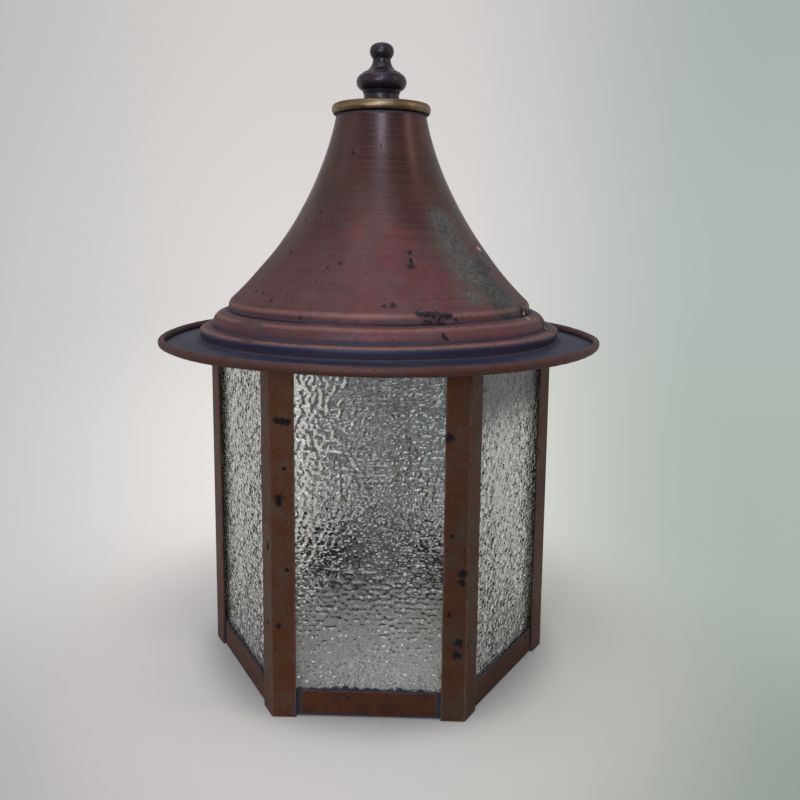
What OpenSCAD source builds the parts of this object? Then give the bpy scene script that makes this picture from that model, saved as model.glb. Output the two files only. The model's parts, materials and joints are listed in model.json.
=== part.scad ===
// Outdoor wall lantern: a six-sided copper body with hammered glass, a full round spun roof with a
// wired edge, a brass crown ring and a turned finial. It stands on its six posts.
// Units are millimetres. The origin is on the standing surface under the lantern's middle, +Z is up,
// and the front bay faces -Y. The rear bay (+Y) is the wall side.

/* [Body] */
// Side of the hexagonal plan, measured outside the posts
side = 120; // [110:1:132]
// Height of the posts
body_h = 233.5; // [190:0.5:270]
// Sheet thickness of the folded corner posts
post_t = 1.5; // [1.2:0.1:1.8]
// Width of each flange of a post
flange = 15; // [13:0.5:20]
// Outside radius of the fold in a post
fold_round = 2; // [1.9:0.1:2.6]

/* [Rails] */
// Height of the bottom rails
rail_h = 16.4; // [13:0.2:22]
// Gap between the standing surface and the bottom rails
rail_lift = 1.2; // [0.6:0.1:3]
// Sheet thickness of the rails
rail_t = 1.2; // [1:0.1:1.6]
// Depth of the ledge that a pane stands on
ledge_w = 9; // [7:0.5:12]
// Open slot between a rail's upright and the flange beside it
rail_slot = 3; // [1:0.5:4]
// Height of the head rails under the head ring
head_rail_h = 11; // [8:0.5:14]
// Clearance between parts that meet at a mitre
mitre_gap = 0.6; // [0.4:0.1:1]

/* [Glass] */
// Thickness of the hammered panes
pane_t = 3; // [2.5:0.25:4]
// Space over a pane, under the head ring
pane_top_gap = 4.5; // [2:0.5:6]
// Width of a glass clip
clip_w = 7; // [5:0.5:10]
// Thickness of a glass clip
clip_t = 0.8; // [0.6:0.1:1.2]
// Height of a glass clip
clip_h = 12; // [8:0.5:16]
// Distance of each clip from the middle of its bay
clip_x = 30; // [15:1:40]

/* [Back plate] */
// Thickness of the back plate
plate_t = 1.2; // [1:0.1:2]
// Gap between the back plate and the rails over and under it
plate_gap = 0.4; // [0.2:0.1:1]
// Shank radius of the rivets
rivet_r = 1.6; // [1.2:0.1:2]
// Rivets down each side of the back plate
rivet_count = 4; // [3:1:6]
// Radius of the two holes for the wall bracket's bolts
bolt_hole_r = 2.75; // [2.25:0.25:3.25]
// Distance between the two bracket bolt holes
bolt_pitch = 50; // [44:1:58]
// Bore radius of the cable bush
cable_r = 5; // [4:0.5:6]
// Wall of the cable bush
bush_wall = 1.4; // [1:0.1:2]

/* [Lamp arm] */
// Height of the arm's upper face, which carries the lampholder
arm_z = 60; // [40:1:90]
// Thickness of the arm
arm_t = 2.5; // [2:0.5:4]
// Width of the arm
arm_w = 24; // [20:1:32]
// Width of the arm's upright leg
leg_w = 36; // [34:1:44]
// Height of the upright leg above the arm
leg_h = 72; // [70:1:84]
// How far the arm runs past the lamp's axis
arm_reach = 16; // [12:1:22]

/* [Lampholder] */
// Outer radius of the brass base cup
cup_r = 18; // [17:0.5:22]
// Height of the base cup
cup_h = 18; // [15:1:24]
// Wall of the base cup
cup_wall = 1.2; // [1:0.1:1.8]
// Radius of the lamp's screw cap
cap_r = 13.5; // [13:0.1:14]
// Running clearance between the lamp's cap and the threaded shell
cap_gap = 0.08; // [0.04:0.01:0.1]
// Wall of the threaded shell
shell_wall = 1; // [0.6:0.1:1.2]
// Height of the skirt
skirt_h = 22; // [18:1:28]
// Thickness of the porcelain insert
insert_h = 13; // [11:0.5:15]
// Outer radius of the nipple under the lampholder
nipple_r = 5; // [4.5:0.5:6]
// Wall of the nipple
nipple_wall = 1.5; // [1:0.1:2]

/* [Lamp] */
// Radius of the lamp's globe
globe_r = 30; // [25:1:34]
// Height of the globe's centre above the lamp's cap
globe_z = 54; // [48:1:64]
// Wall of the lamp's glass
globe_wall = 0.9; // [0.7:0.1:1.2]

/* [Head ring and bridge] */
// Thickness of the head ring on top of the posts
head_t = 2; // [1.5:0.25:3]
// Width of the head ring
head_w = 29; // [25:1:36]
// Width of the bridge bar
bridge_w = 20; // [16:1:28]
// Thickness of the bridge bar
bridge_t = 3; // [2:0.5:4]
// Radius of the tie rod
rod_r = 3; // [2.5:0.25:3.5]
// Radius of the small screws
screw_r = 2; // [1.5:0.25:2.5]

/* [Roof] */
// Sheet thickness of the spun roof
roof_t = 1.2; // [1:0.1:1.4]
// Outer radius of the brim
brim_r = 151; // [145:1:165]
// Height of the rolled edge of the brim
rim_roll = 6; // [5:0.2:7.6]
// Width of the rolled edge of the brim
rim_w = 4.4; // [4:0.2:6]
// Radius of the upper bead, a quarter round
bead_round = 9.1; // [8:0.1:11]
// Width of the lower bead outside the upper one
step_w = 8.9; // [7:0.1:11]
// Height of the lower bead over the brim
step_h = 8.25; // [7:0.25:10]
// Radius of the lower bead's upper corner
step_round = 3.4; // [2.6:0.2:4.6]
// How far the lower bead draws in above the brim
tuck = 1.5; // [0.8:0.1:2]
// Upright stretch of the bell over the beads
foot_h = 2.15; // [1.9:0.05:4]
// Height of the brim's collar inside the bell's foot
collar_h = 1.8; // [1.2:0.1:2]
// Radius of the turn at the bell's foot
foot_round = 7.7; // [6:0.1:9]
// Height of the bell from its foot to its neck
bell_h = 126.8; // [110:0.2:145]
// Radius of the bell at its neck
crown_r = 31; // [28:0.5:34]
// Slope of the bell at its neck, from upright, in degrees
neck_slope = 11.5; // [6:0.5:16]
// Slope of the bell at its foot, from upright, in degrees
foot_slope = 48.5; // [44:0.5:53]
// How long the bell keeps its slope at the neck
neck_pull = 37.3; // [25:0.1:45]
// How long the bell keeps its slope at the foot
foot_pull = 49.7; // [38:0.1:56]
// Height of the upright neck above the bell
neck_h = 7; // [6:0.5:10]

/* [Crown and finial] */
// Height of the brass crown ring
ring_h = 7.4; // [6:0.2:9]
// How far the crown ring stands out from the neck
ring_out = 2.6; // [1.8:0.1:4]
// Thickness of the crown cap
crown_t = 1.5; // [1:0.1:2]
// Thickness of the finial's washer
washer_t = 0.8; // [0.5:0.1:1.5]
// Radius of the finial's foot
knob_foot_r = 12.5; // [10:0.5:14]
// Height of the finial's disc, middle of its edge, above the finial's foot
knob_disc_z = 14.7; // [13:0.1:18]
// Outer radius of the finial's disc
knob_disc_r = 17; // [15:0.1:20]
// Half the thickness of the finial's disc
knob_disc_h = 5.9; // [5:0.1:6.5]
// Radius of the finial's neck
knob_neck_r = 6; // [5:0.1:7]
// Length of the hollow from the disc to the narrowest part of the neck
knob_hollow = 9.4; // [8:0.1:12]
// Radius of the finial's ball
knob_ball_r = 8.1; // [7:0.1:10]
// Half the height of the finial's ball
knob_ball_h = 6.2; // [5:0.1:8]
// Running clearance between the finial's bore and the tie rod
rod_gap = 0.08; // [0.04:0.01:0.1]

/* [Hidden] */
$fn = 96;

// Faces of the body from outside in: post, rail, pane
apothem = side * cos(30);
rail_y = apothem - post_t;
pane_y = rail_y - rail_t;
pane_back = pane_y - pane_t;
pane_half = pane_back * tan(30) - mitre_gap;
ledge_z = rail_lift + rail_t;
ledge_back = rail_y - ledge_w;
rail_top = rail_lift + rail_h;
pane_top = body_h - pane_top_gap;
slot_x = side / 2 - flange - rail_slot;

// Head ring and bridge
seat_gap = 0.3;
slip_gap = 0.1;
hole_gap = 0.2;
cut_h = 40;
head_lip = 0.6;
head_r = side + head_lip;
head_top = body_h + head_t;
head_in = head_r - head_w;
bridge_inset = 17;
bridge_half = head_r - bridge_inset;
bridge_top = head_top + bridge_t;
bridge_screw_inset = 6;
bridge_screw_x = bridge_half - bridge_screw_inset;
nut_ratio = 1.6;
nut_wall = 2.2;
nut_h = rod_r * nut_ratio;
small_nut_h = screw_r * nut_ratio;
screw_head_h = screw_r * 1.1;

// Roof: the lower bead seats on the edge of the head ring
bead_lip = 3.2;
bead_out = head_r + bead_lip;
bead_mid = bead_out - step_w;
bead_x = bead_mid - bead_round;
bead_ledge = 1.7;
foot_r = bead_x - bead_ledge;
step_z = head_top + seat_gap + roof_t;
bead_lift = 0.9;
bead_z = step_z + bead_lift;
bead_top = bead_z + bead_round;
brim_z = step_z - step_h;
foot_corner = 0.6;
tuck_drop = step_h - step_round - foot_corner;
tuck_r = (pow(tuck_drop, 2) + pow(tuck, 2)) / (2 * tuck);
tuck_turn = asin(tuck_drop / tuck_r);
floor_x = bead_out - tuck + foot_corner / 2;
foot_z = bead_top + foot_h;
crown_z = foot_z + bell_h;
neck_top = crown_z + neck_h;
wire_gap = 0.12;
roll_x = brim_r - rim_w / 2;
roll_drop = 1.4;
roll_z = brim_z - roll_drop;
roll_end = 200;
arc_steps = 10;
collar_gap = 0.3;
collar_r = foot_r - roof_t - collar_gap;

// Crown and finial
ring_lift = 2;
ring_z = crown_z + ring_lift;
crown_top = neck_top + crown_t;
knob_z = crown_top + washer_t;
washer_inset = 1.5;
rod_tail = 2;
bore_wall = 1;
rod_end_gap = 1.5;
rod_depth = knob_disc_z + knob_disc_h - bore_wall;
rod_top = knob_z + rod_depth - rod_end_gap;
rod_foot = head_top - nut_h - rod_tail;

// Back plate and lamp arm
plate_back = rail_y - plate_t;
plate_low = rail_top + plate_gap;
plate_high = body_h - head_rail_h - plate_gap;
rivet_gap = 0.1;
rivet_head_h = 1.2;
rivet_tail_h = 0.7;
rivet_x = side / 2 - flange * 0.55;
rivet_margin = 14;
bush_lift = 34;
bush_z = arm_z + bush_lift;
bush_r = cable_r + bush_wall;
bush_flange_r = bush_r + 2.6;
bush_flange_t = 1.6;
bush_nut_t = 3;
arm_rivet_inset = 5;
arm_rivet_x = leg_w / 2 - arm_rivet_inset;
arm_rivet_z = 17;
bend_round = 4;
nipple_nut_h = 3.5;

// Lampholder and lamp stand on the arm, around the axis
cup_floor = 1.5;
insert_z = arm_z + cup_floor;
insert_top = insert_z + insert_h;
skirt_z = arm_z + cup_h;
shell_in = cap_r + cap_gap;
shell_out = shell_in + shell_wall;
skirt_lip = 2;
shell_top = skirt_z + skirt_h - skirt_lip;
skirt_in = shell_out + 0.5;
skirt_out = cup_r + 2;
contact_t = 0.6;
contact_w = 5;
tip_gap = 0.3;
tip_h = 4;
tip_z = insert_top + contact_t + tip_gap;
cap_z = tip_z + tip_h;
stem_h = 26.6;
lamp_z = skirt_z + skirt_h + 1;
globe_neck = cap_r - 0.3;

function arc(cx, cz, rx, rz, from, to, steps) =
    [for (i = [0:steps]) let (t = from + (to - from) * i / steps) [cx + rx * cos(t), cz + rz * sin(t)]];

function bezier(a, b, c, d, t) =
    pow(1 - t, 3) * a + 3 * t * pow(1 - t, 2) * b + 3 * t * t * (1 - t) * c + pow(t, 3) * d;

function bezier_way(a, b, c, d, t) =
    pow(1 - t, 2) * (b - a) + 2 * t * (1 - t) * (c - b) + t * t * (d - c);

// Bell curve: offset inwards by the given amount, from the neck (t = 0) down to the foot (t = 1)
bell_a = [crown_r, crown_z];
bell_d = [foot_r - foot_round * (1 - cos(foot_slope)), foot_z + foot_round * sin(foot_slope)];
bell_b = bell_a + neck_pull * [sin(neck_slope), -cos(neck_slope)];
bell_c = bell_d - foot_pull * [sin(foot_slope), -cos(foot_slope)];
bell_steps = 24;

function bell_point(t, inset) =
    let (way = bezier_way(bell_a, bell_b, bell_c, bell_d, t))
    bezier(bell_a, bell_b, bell_c, bell_d, t) - inset * [-way[1], way[0]] / norm(way);

function bell(inset) = [for (i = [0:bell_steps]) bell_point(i / bell_steps, inset)];

// A list of points in the opposite order
function back(points) = [for (i = [len(points) - 1:-1:0]) points[i]];

module on_bay(bay) rotate([0, 0, 60 * bay]) children();

// A place on a bay's outer plane, x along the bay and z up, with +Z of the children going inwards
module bay_place(bay, x, z, y) on_bay(bay) translate([x, -y, z]) rotate([-90, 0, 0]) children();

module ring(outer, inner, height) difference() {
    cylinder(r = outer, h = height);
    translate([0, 0, -1]) cylinder(r = inner, h = height + 2);
}

// Spun bell: upright neck, bell curve and turned foot, which stands on the brim's upper bead
module roof_bell() {
    foot_in = foot_round - roof_t;
    outside = concat([[crown_r, neck_top]], bell(0),
                     arc(foot_r - foot_round, foot_z, foot_round, foot_round, foot_slope, 0, 6),
                     [[foot_r, bead_top]]);
    inside = concat([[crown_r - roof_t, neck_top]], bell(roof_t),
                    arc(foot_r - foot_round, foot_z, foot_in, foot_in, foot_slope, 0, 6),
                    [[foot_r - roof_t, bead_top]]);
    color([0.36, 0.17, 0.14]) rotate_extrude() polygon(concat(outside, back(inside)));
}

// Spun brim: collar inside the bell's foot, quarter-round bead, lower bead with a rounded corner that
// draws in over the brim, sloping floor and rolled edge
module roof_brim() {
    collar_in = collar_r - roof_t;
    outside = concat([[collar_r, bead_top + collar_h], [collar_r, bead_top]],
        brim_beads(0), [[floor_x, brim_z]], roll(roof_t));
    inside = concat([[collar_in, bead_top + collar_h], [collar_in, bead_top - roof_t]],
        brim_beads(roof_t), arc(floor_x, brim_z, roof_t, roof_t, 180, 260, 3), roll(0));
    color([0.34, 0.16, 0.13]) rotate_extrude() polygon(concat(outside, back(inside)));
}

// Both beads, offset inwards by the given amount
function brim_beads(inset) = concat(
    arc(bead_x, bead_z, bead_round - inset, bead_round - inset, 90, 0, arc_steps),
    [[bead_mid - inset, step_z - inset]],
    arc(bead_out - step_round, step_z - step_round, step_round - inset, step_round - inset, 90, 0, 6),
    arc(bead_out - tuck_r, step_z - step_round,
        tuck_r - inset, tuck_r - inset, -tuck_turn / 4, -tuck_turn, 3));

function roll(inset) =
    arc(roll_x, roll_z, rim_w / 2 - inset, rim_roll / 2 - inset, -90, roll_end, 2 * arc_steps);

// Stiffening wire inside the rolled edge
module rim_wire() {
    wall = roof_t + wire_gap;
    color([0.55, 0.33, 0.2]) rotate_extrude()
        polygon(arc(roll_x, roll_z, rim_w / 2 - wall, rim_roll / 2 - wall, 0, 345, 23));
}

// Half-round brass ring around the neck
module crown_ring() {
    color([0.5, 0.42, 0.2]) translate([0, 0, ring_z]) rotate_extrude() polygon(concat(
        [[crown_r + slip_gap, 0]],
        arc(crown_r + slip_gap, ring_h / 2, ring_out - slip_gap, ring_h / 2, -80, 80, arc_steps),
        [[crown_r + slip_gap, ring_h]]));
}

// Flat cap that closes the neck, with a spigot that centres it
module crown_cap() {
    spigot = 4;
    color([0.42, 0.3, 0.18]) difference() {
        union() {
            translate([0, 0, neck_top]) cylinder(r = crown_r, h = crown_t);
            translate([0, 0, neck_top - spigot])
                ring(crown_r - roof_t - hole_gap, crown_r - 2 * roof_t - hole_gap, spigot);
        }
        translate([0, 0, neck_top - 1]) cylinder(r = rod_r + hole_gap, h = crown_t + 2);
    }
}

module finial_washer() {
    color([0.2, 0.15, 0.13]) translate([0, 0, crown_top])
        ring(knob_foot_r - washer_inset, rod_r + hole_gap, washer_t);
}

// Turned finial: foot, waist, disc, hollow neck and a ball that is fuller towards its top
module finial() {
    disc_x = knob_disc_r - knob_disc_h;
    disc_low = knob_disc_z - knob_disc_h;
    disc_top = knob_disc_z + knob_disc_h;
    neck_z = disc_top + knob_hollow;
    neck_at = acos(knob_neck_r / knob_ball_r);
    neck_step = 0.2;
    ball_z = neck_z + neck_step + knob_ball_h * sin(neck_at);
    fullness = 0.8;
    waist_r = knob_foot_r - 0.5;
    foot_bead = 1;
    outline = concat(
        [[0, 0], [knob_foot_r, 0]],
        arc(knob_foot_r, foot_bead, foot_bead / 2, foot_bead, -90, 90, 6),
        [[waist_r, 3 * foot_bead], [waist_r - 0.1, disc_low - 2.6], [waist_r + 0.5, disc_low - 1]],
        arc(disc_x, knob_disc_z, knob_disc_h, knob_disc_h, -72, 66, 2 * arc_steps),
        arc(knob_neck_r + knob_hollow, neck_z, knob_hollow, knob_hollow, 253, 180, arc_steps),
        arc(0, ball_z, knob_ball_r, knob_ball_h, -neck_at, -9, 4),
        [for (turn = [0:9:90])
            [knob_ball_r * pow(cos(turn), fullness), ball_z + knob_ball_h * pow(sin(turn), fullness)]]);
    color([0.2, 0.13, 0.17]) translate([0, 0, knob_z]) difference() {
        rotate_extrude() polygon(outline);
        translate([0, 0, -1]) cylinder(r = rod_r + rod_gap, h = rod_depth + 1);
    }
}

// Folded copper angle, 120 degrees inside, on the corner between two bays
module post(corner, riveted = false) {
    centre = fold_round / cos(30);
    fold_in = fold_round - post_t;
    section = concat(
        [flange * [cos(120), -sin(120)]],
        arc(-centre, 0, fold_round, fold_round, -30, 30, 6),
        [flange * [cos(120), sin(120)], flange * [cos(120), sin(120)] + post_t * [cos(210), sin(210)]],
        arc(-centre, 0, fold_in, fold_in, 30, -30, 6),
        [flange * [cos(120), -sin(120)] + post_t * [cos(150), sin(150)]]);
    color([0.3, 0.15, 0.1]) difference() {
        rotate([0, 0, 60 * corner - 60]) translate([side, 0, 0]) linear_extrude(body_h) polygon(section);
        if (riveted) rivet_places() cylinder(r = rivet_r + rivet_gap, h = cut_h, center = true);
    }
}

// Bottom rail: an upright between the flanges and a ledge behind them, under the pane
module rail(bay) {
    color([0.32, 0.15, 0.1]) on_bay(bay) union() {
        translate([-slot_x, -rail_y, rail_lift]) cube([2 * slot_x, rail_t, rail_h]);
        translate([0, 0, rail_lift]) linear_extrude(rail_t) mitred(rail_y, ledge_back);
    }
}

// Head rail: an upright behind the flanges, under the head ring
module head_rail(bay) {
    color([0.3, 0.15, 0.1]) on_bay(bay) translate([0, 0, body_h - head_rail_h])
        linear_extrude(head_rail_h) mitred(rail_y, pane_y);
}

// Plan of a strip along a bay with ends cut to the mitre, between two distances from the axis
module mitred(outer, inner) {
    polygon([[-outer * tan(30) + mitre_gap, -outer], [outer * tan(30) - mitre_gap, -outer],
             [inner * tan(30) - mitre_gap, -inner], [-inner * tan(30) + mitre_gap, -inner]]);
}

module pane(bay) {
    color([0.75, 0.76, 0.72, 0.5]) on_bay(bay) translate([-pane_half, -pane_y, ledge_z])
        cube([2 * pane_half, pane_t, pane_top - ledge_z]);
}

// Soldered tabs behind each pane, two on the ledge and two under the head ring
module glass_clips() {
    color([0.35, 0.18, 0.12])
        for (bay = [0, 1, 2, 4, 5], x = [-clip_x, clip_x], z = [ledge_z, body_h - clip_h])
            on_bay(bay) translate([x - clip_w / 2, -pane_back, z]) cube([clip_w, clip_t, clip_h]);
}

module rivet_places() {
    span = plate_high - plate_low - 2 * rivet_margin;
    for (x = [-rivet_x, rivet_x], i = [0:rivet_count - 1])
        bay_place(3, x, plate_low + rivet_margin + span * i / (rivet_count - 1), apothem) children();
}

// Rivet with a domed head outside and a small upset tail inside, +Z inwards from the outer face
module rivet(grip) {
    rotate_extrude() polygon(concat(
        [[0, grip + rivet_tail_h], [0, -rivet_head_h]],
        arc(0, 0, 1.8 * rivet_r, rivet_head_h, -80, 0, 5),
        [[rivet_r, 0], [rivet_r, grip], [1.35 * rivet_r, grip], [1.35 * rivet_r, grip + rivet_tail_h]]));
}

module arm_rivet_places() {
    for (x = [-arm_rivet_x, arm_rivet_x], z = [bush_z - arm_rivet_z, bush_z + arm_rivet_z])
        bay_place(3, x, z, rail_y) children();
}

module bolt_places() {
    for (z = [bush_z - bolt_pitch / 2, bush_z + bolt_pitch / 2]) bay_place(3, 0, z, rail_y) children();
}

// Holes that the back plate and the arm's leg share
module wall_holes() {
    bolt_places() cylinder(r = bolt_hole_r, h = cut_h, center = true);
    arm_rivet_places() cylinder(r = rivet_r + rivet_gap, h = cut_h, center = true);
    bay_place(3, 0, bush_z, rail_y) cylinder(r = bush_r + hole_gap, h = cut_h, center = true);
}

// Plate that closes the rear bay and takes the wall bracket
module back_plate() {
    color([0.6, 0.6, 0.56]) difference() {
        on_bay(3) translate([-pane_half, -rail_y, plate_low])
            cube([2 * pane_half, plate_t, plate_high - plate_low]);
        rivet_places() cylinder(r = rivet_r + rivet_gap, h = cut_h, center = true);
        wall_holes();
    }
}

module plate_rivets() {
    color([0.4, 0.22, 0.14]) rivet_places() rivet(post_t + plate_t);
}

// Flanged bush that lines the cable's way in, with its nut inside the arm's leg
module cable_bush() {
    grip = plate_t + arm_t;
    color([0.6, 0.48, 0.22]) bay_place(3, 0, bush_z, rail_y) difference() {
        union() {
            translate([0, 0, -bush_flange_t]) cylinder(r = bush_flange_r, h = bush_flange_t);
            cylinder(r = bush_r, h = grip + bush_nut_t + 1);
        }
        translate([0, 0, -bush_flange_t - 1])
            cylinder(r = cable_r, h = grip + bush_nut_t + bush_flange_t + 3);
    }
}

module bush_nut() {
    color([0.6, 0.48, 0.22]) bay_place(3, 0, bush_z, rail_y - plate_t - arm_t) hex_nut(bush_r, bush_nut_t);
}

module hex_nut(shank, height) difference() {
    cylinder(r = (shank + nut_wall) / cos(30), h = height, $fn = 6);
    translate([0, 0, -1]) cylinder(r = shank + slip_gap, h = height + 2);
}

// Flat ring soldered on the tops of the posts and head rails, which the roof seats on
module head_ring() {
    color([0.34, 0.18, 0.12]) difference() {
        translate([0, 0, body_h]) ring(head_r, head_in, head_t);
        bridge_screw_places() cylinder(r = screw_r + hole_gap, h = cut_h, center = true);
    }
}

module bridge_screw_places() {
    for (side_x = [-bridge_screw_x, bridge_screw_x]) translate([side_x, 0, head_top]) children();
}

// Bar across the head ring that holds the tie rod
module bridge_bar() {
    color([0.34, 0.2, 0.13]) difference() {
        translate([-bridge_half, -bridge_w / 2, head_top]) cube([2 * bridge_half, bridge_w, bridge_t]);
        bridge_screw_places() cylinder(r = screw_r + hole_gap, h = cut_h, center = true);
        translate([0, 0, head_top]) cylinder(r = rod_r + hole_gap, h = cut_h, center = true);
    }
}

module bridge_screws() {
    shank = bridge_t + head_t + small_nut_h + 1;
    color([0.6, 0.5, 0.25]) bridge_screw_places() translate([0, 0, bridge_t]) union() {
        cylinder(r = 1.9 * screw_r, h = screw_head_h);
        translate([0, 0, -shank]) cylinder(r = screw_r, h = shank + 0.5);
    }
}

module bridge_nuts() {
    color([0.6, 0.5, 0.25]) bridge_screw_places() translate([0, 0, -head_t - small_nut_h])
        hex_nut(screw_r, small_nut_h);
}

// Rod from the bridge up through the crown cap into the finial
module tie_rod() {
    color([0.5, 0.42, 0.25]) translate([0, 0, rod_foot]) cylinder(r = rod_r, h = rod_top - rod_foot);
}

// One nut under the bridge and one over it
module rod_nuts() {
    color([0.6, 0.5, 0.25])
        for (z = [head_top - nut_h, bridge_top]) translate([0, 0, z]) hex_nut(rod_r, nut_h);
}

// Bent strip: a wide leg on the back plate and a narrower arm forward under the lampholder
module lamp_arm() {
    corner_y = plate_back - bend_round;
    corner_z = arm_z - arm_t + bend_round;
    bend_in = bend_round - arm_t;
    strip = concat(
        arc(-corner_y, corner_z, bend_round, bend_round, 180, 270, 6),
        [[arm_reach, arm_z - arm_t], [arm_reach, arm_z]],
        arc(-corner_y, corner_z, bend_in, bend_in, 270, 180, 6),
        [[-plate_back + arm_t, arm_z + leg_h], [-plate_back, arm_z + leg_h]]);
    color([0.36, 0.2, 0.13]) difference() {
        on_bay(3) union() {
            translate([-arm_w / 2, 0, 0]) rotate([90, 0, 90]) linear_extrude(arm_w) polygon(strip);
            translate([-leg_w / 2, -plate_back, arm_z + bend_round])
                cube([leg_w, arm_t, leg_h - bend_round]);
        }
        wall_holes();
        translate([0, 0, arm_z]) cylinder(r = nipple_r + hole_gap, h = cut_h, center = true);
    }
}

module arm_rivets() {
    color([0.4, 0.22, 0.14]) arm_rivet_places() rivet(plate_t + arm_t);
}

// Tube that fixes the lampholder to the arm and lets the wires through
module nipple() {
    below = arm_t + nipple_nut_h + 2;
    above = 5;
    color([0.6, 0.48, 0.22]) translate([0, 0, arm_z - below])
        ring(nipple_r, nipple_r - nipple_wall, below + cup_floor + above);
}

module nipple_nut() {
    color([0.6, 0.48, 0.22]) translate([0, 0, arm_z - arm_t - nipple_nut_h])
        hex_nut(nipple_r, nipple_nut_h);
}

module holder_cup() {
    shoulder = 4;
    color([0.55, 0.43, 0.2]) translate([0, 0, arm_z]) difference() {
        rotate_extrude() polygon(concat(
            [[nipple_r + slip_gap, 0]],
            arc(cup_r - shoulder, shoulder, shoulder, shoulder, -90, 0, 6),
            [[cup_r, cup_h], [cup_r - cup_wall, cup_h], [cup_r - cup_wall, cup_floor],
             [nipple_r + slip_gap, cup_floor]]));
    }
}

// Porcelain block inside the cup, hollow under its middle for the nipple's end
module holder_insert() {
    hollow = 7.5;
    color([0.85, 0.84, 0.78]) translate([0, 0, insert_z]) difference() {
        cylinder(r = cup_r - cup_wall - hole_gap, h = insert_h);
        translate([0, 0, -1]) cylinder(r = nipple_r + 1, h = hollow);
    }
}

module holder_shell() {
    color([0.62, 0.5, 0.24]) translate([0, 0, insert_top]) ring(shell_out, shell_in, shell_top - insert_top);
}

module holder_contact() {
    color([0.62, 0.5, 0.24]) translate([-shell_in * 0.7, -contact_w / 2, insert_top])
        cube([shell_in * 1.4, contact_w, contact_t]);
}

// Skirt around the threaded shell, with a rolled lip
module holder_skirt() {
    color([0.5, 0.38, 0.18]) translate([0, 0, skirt_z]) rotate_extrude() polygon(concat(
        [[skirt_in, 0], [skirt_out, 0]],
        arc(skirt_out, skirt_h - skirt_lip, skirt_lip / 2, skirt_lip, -60, 60, 6),
        [[skirt_out, skirt_h], [skirt_in, skirt_h]]));
}

// Screw cap of the lamp with its insulated tip
module lamp_cap() {
    tip_r = 3.5;
    chamfer = 1.5;
    color([0.7, 0.68, 0.62]) rotate_extrude() polygon([[0, tip_z], [tip_r, tip_z],
        [tip_r + chamfer, tip_z + chamfer], [cap_r - chamfer, cap_z], [cap_r, cap_z + chamfer],
        [cap_r, lamp_z], [0, lamp_z]]);
}

// Clear glass globe with a drawn-in neck, open at the foot where it is cemented into the cap
module lamp_globe() {
    low = 40;
    neck_pull_z = 17;
    edge_pull = 12;
    function side_curve(inset) = let (
        edge = [(globe_r - inset) * cos(low), globe_z - (globe_r - inset) * sin(low)],
        neck = [globe_neck - inset, 0], way = [sin(low), cos(low)])
        concat([for (i = [0:10])
                    bezier(neck, neck + [0, neck_pull_z], edge - edge_pull * way, edge, i / 10)],
               arc(0, globe_z, globe_r - inset, globe_r - inset, 4 - low, 90, 24));
    color([0.85, 0.86, 0.84, 0.35]) translate([0, 0, lamp_z])
        rotate_extrude() polygon(concat(side_curve(0), back(side_curve(globe_wall))));
}

// Glass stem: flared foot, rod and a small head that holds the filament's supports
module lamp_stem() {
    flare_r = 6;
    rod = 2;
    head = 2.8;
    color([0.85, 0.86, 0.84, 0.5]) translate([0, 0, lamp_z]) rotate_extrude() polygon(concat(
        [[0, 0], [flare_r, 0], [0.75 * flare_r, flare_r], [rod, stem_h - 10], [rod, stem_h - head]],
        arc(0, stem_h, head, head, -40, 90, 8)));
}

// Filament: a ring of wire over six supports that stand out from the stem's head
module lamp_filament() {
    wire_r = 0.35;
    cage_r = 9;
    cage_z = lamp_z + 44;
    hub_z = lamp_z + stem_h;
    hub_r = 3.1;
    reach = norm([cage_r, cage_z - hub_z]) - 2 * wire_r;
    color([0.3, 0.28, 0.26]) union() {
        translate([0, 0, cage_z]) rotate_extrude() translate([cage_r, 0]) circle(r = wire_r, $fn = 16);
        for (turn = [0:60:300]) rotate([0, 0, turn]) translate([0, 0, hub_z])
            rotate([0, atan2(cage_r, cage_z - hub_z), 0])
                translate([0, 0, hub_r]) cylinder(r = wire_r, h = reach - hub_r, $fn = 16);
    }
}

roof_bell();
roof_brim();
rim_wire();
crown_ring();
crown_cap();
finial_washer();
finial();
post(0);  // post_front_right
post(1);  // post_right
post(2, riveted = true);  // post_rear_right
post(3, riveted = true);  // post_rear_left
post(4);  // post_left
post(5);  // post_front_left
rail(0);  // rail_front
rail(1);  // rail_front_right
rail(2);  // rail_rear_right
rail(3);  // rail_rear
rail(4);  // rail_rear_left
rail(5);  // rail_front_left
head_rail(0);  // head_rail_front
head_rail(1);  // head_rail_front_right
head_rail(2);  // head_rail_rear_right
head_rail(3);  // head_rail_rear
head_rail(4);  // head_rail_rear_left
head_rail(5);  // head_rail_front_left
pane(0);  // pane_front
pane(1);  // pane_front_right
pane(2);  // pane_rear_right
pane(4);  // pane_rear_left
pane(5);  // pane_front_left
glass_clips();
back_plate();
plate_rivets();
cable_bush();
bush_nut();
head_ring();
bridge_bar();
bridge_screws();
bridge_nuts();
tie_rod();
rod_nuts();
lamp_arm();
arm_rivets();
nipple();
nipple_nut();
holder_cup();
holder_insert();
holder_shell();
holder_skirt();
holder_contact();
lamp_cap();
lamp_globe();
lamp_stem();
lamp_filament();
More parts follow.
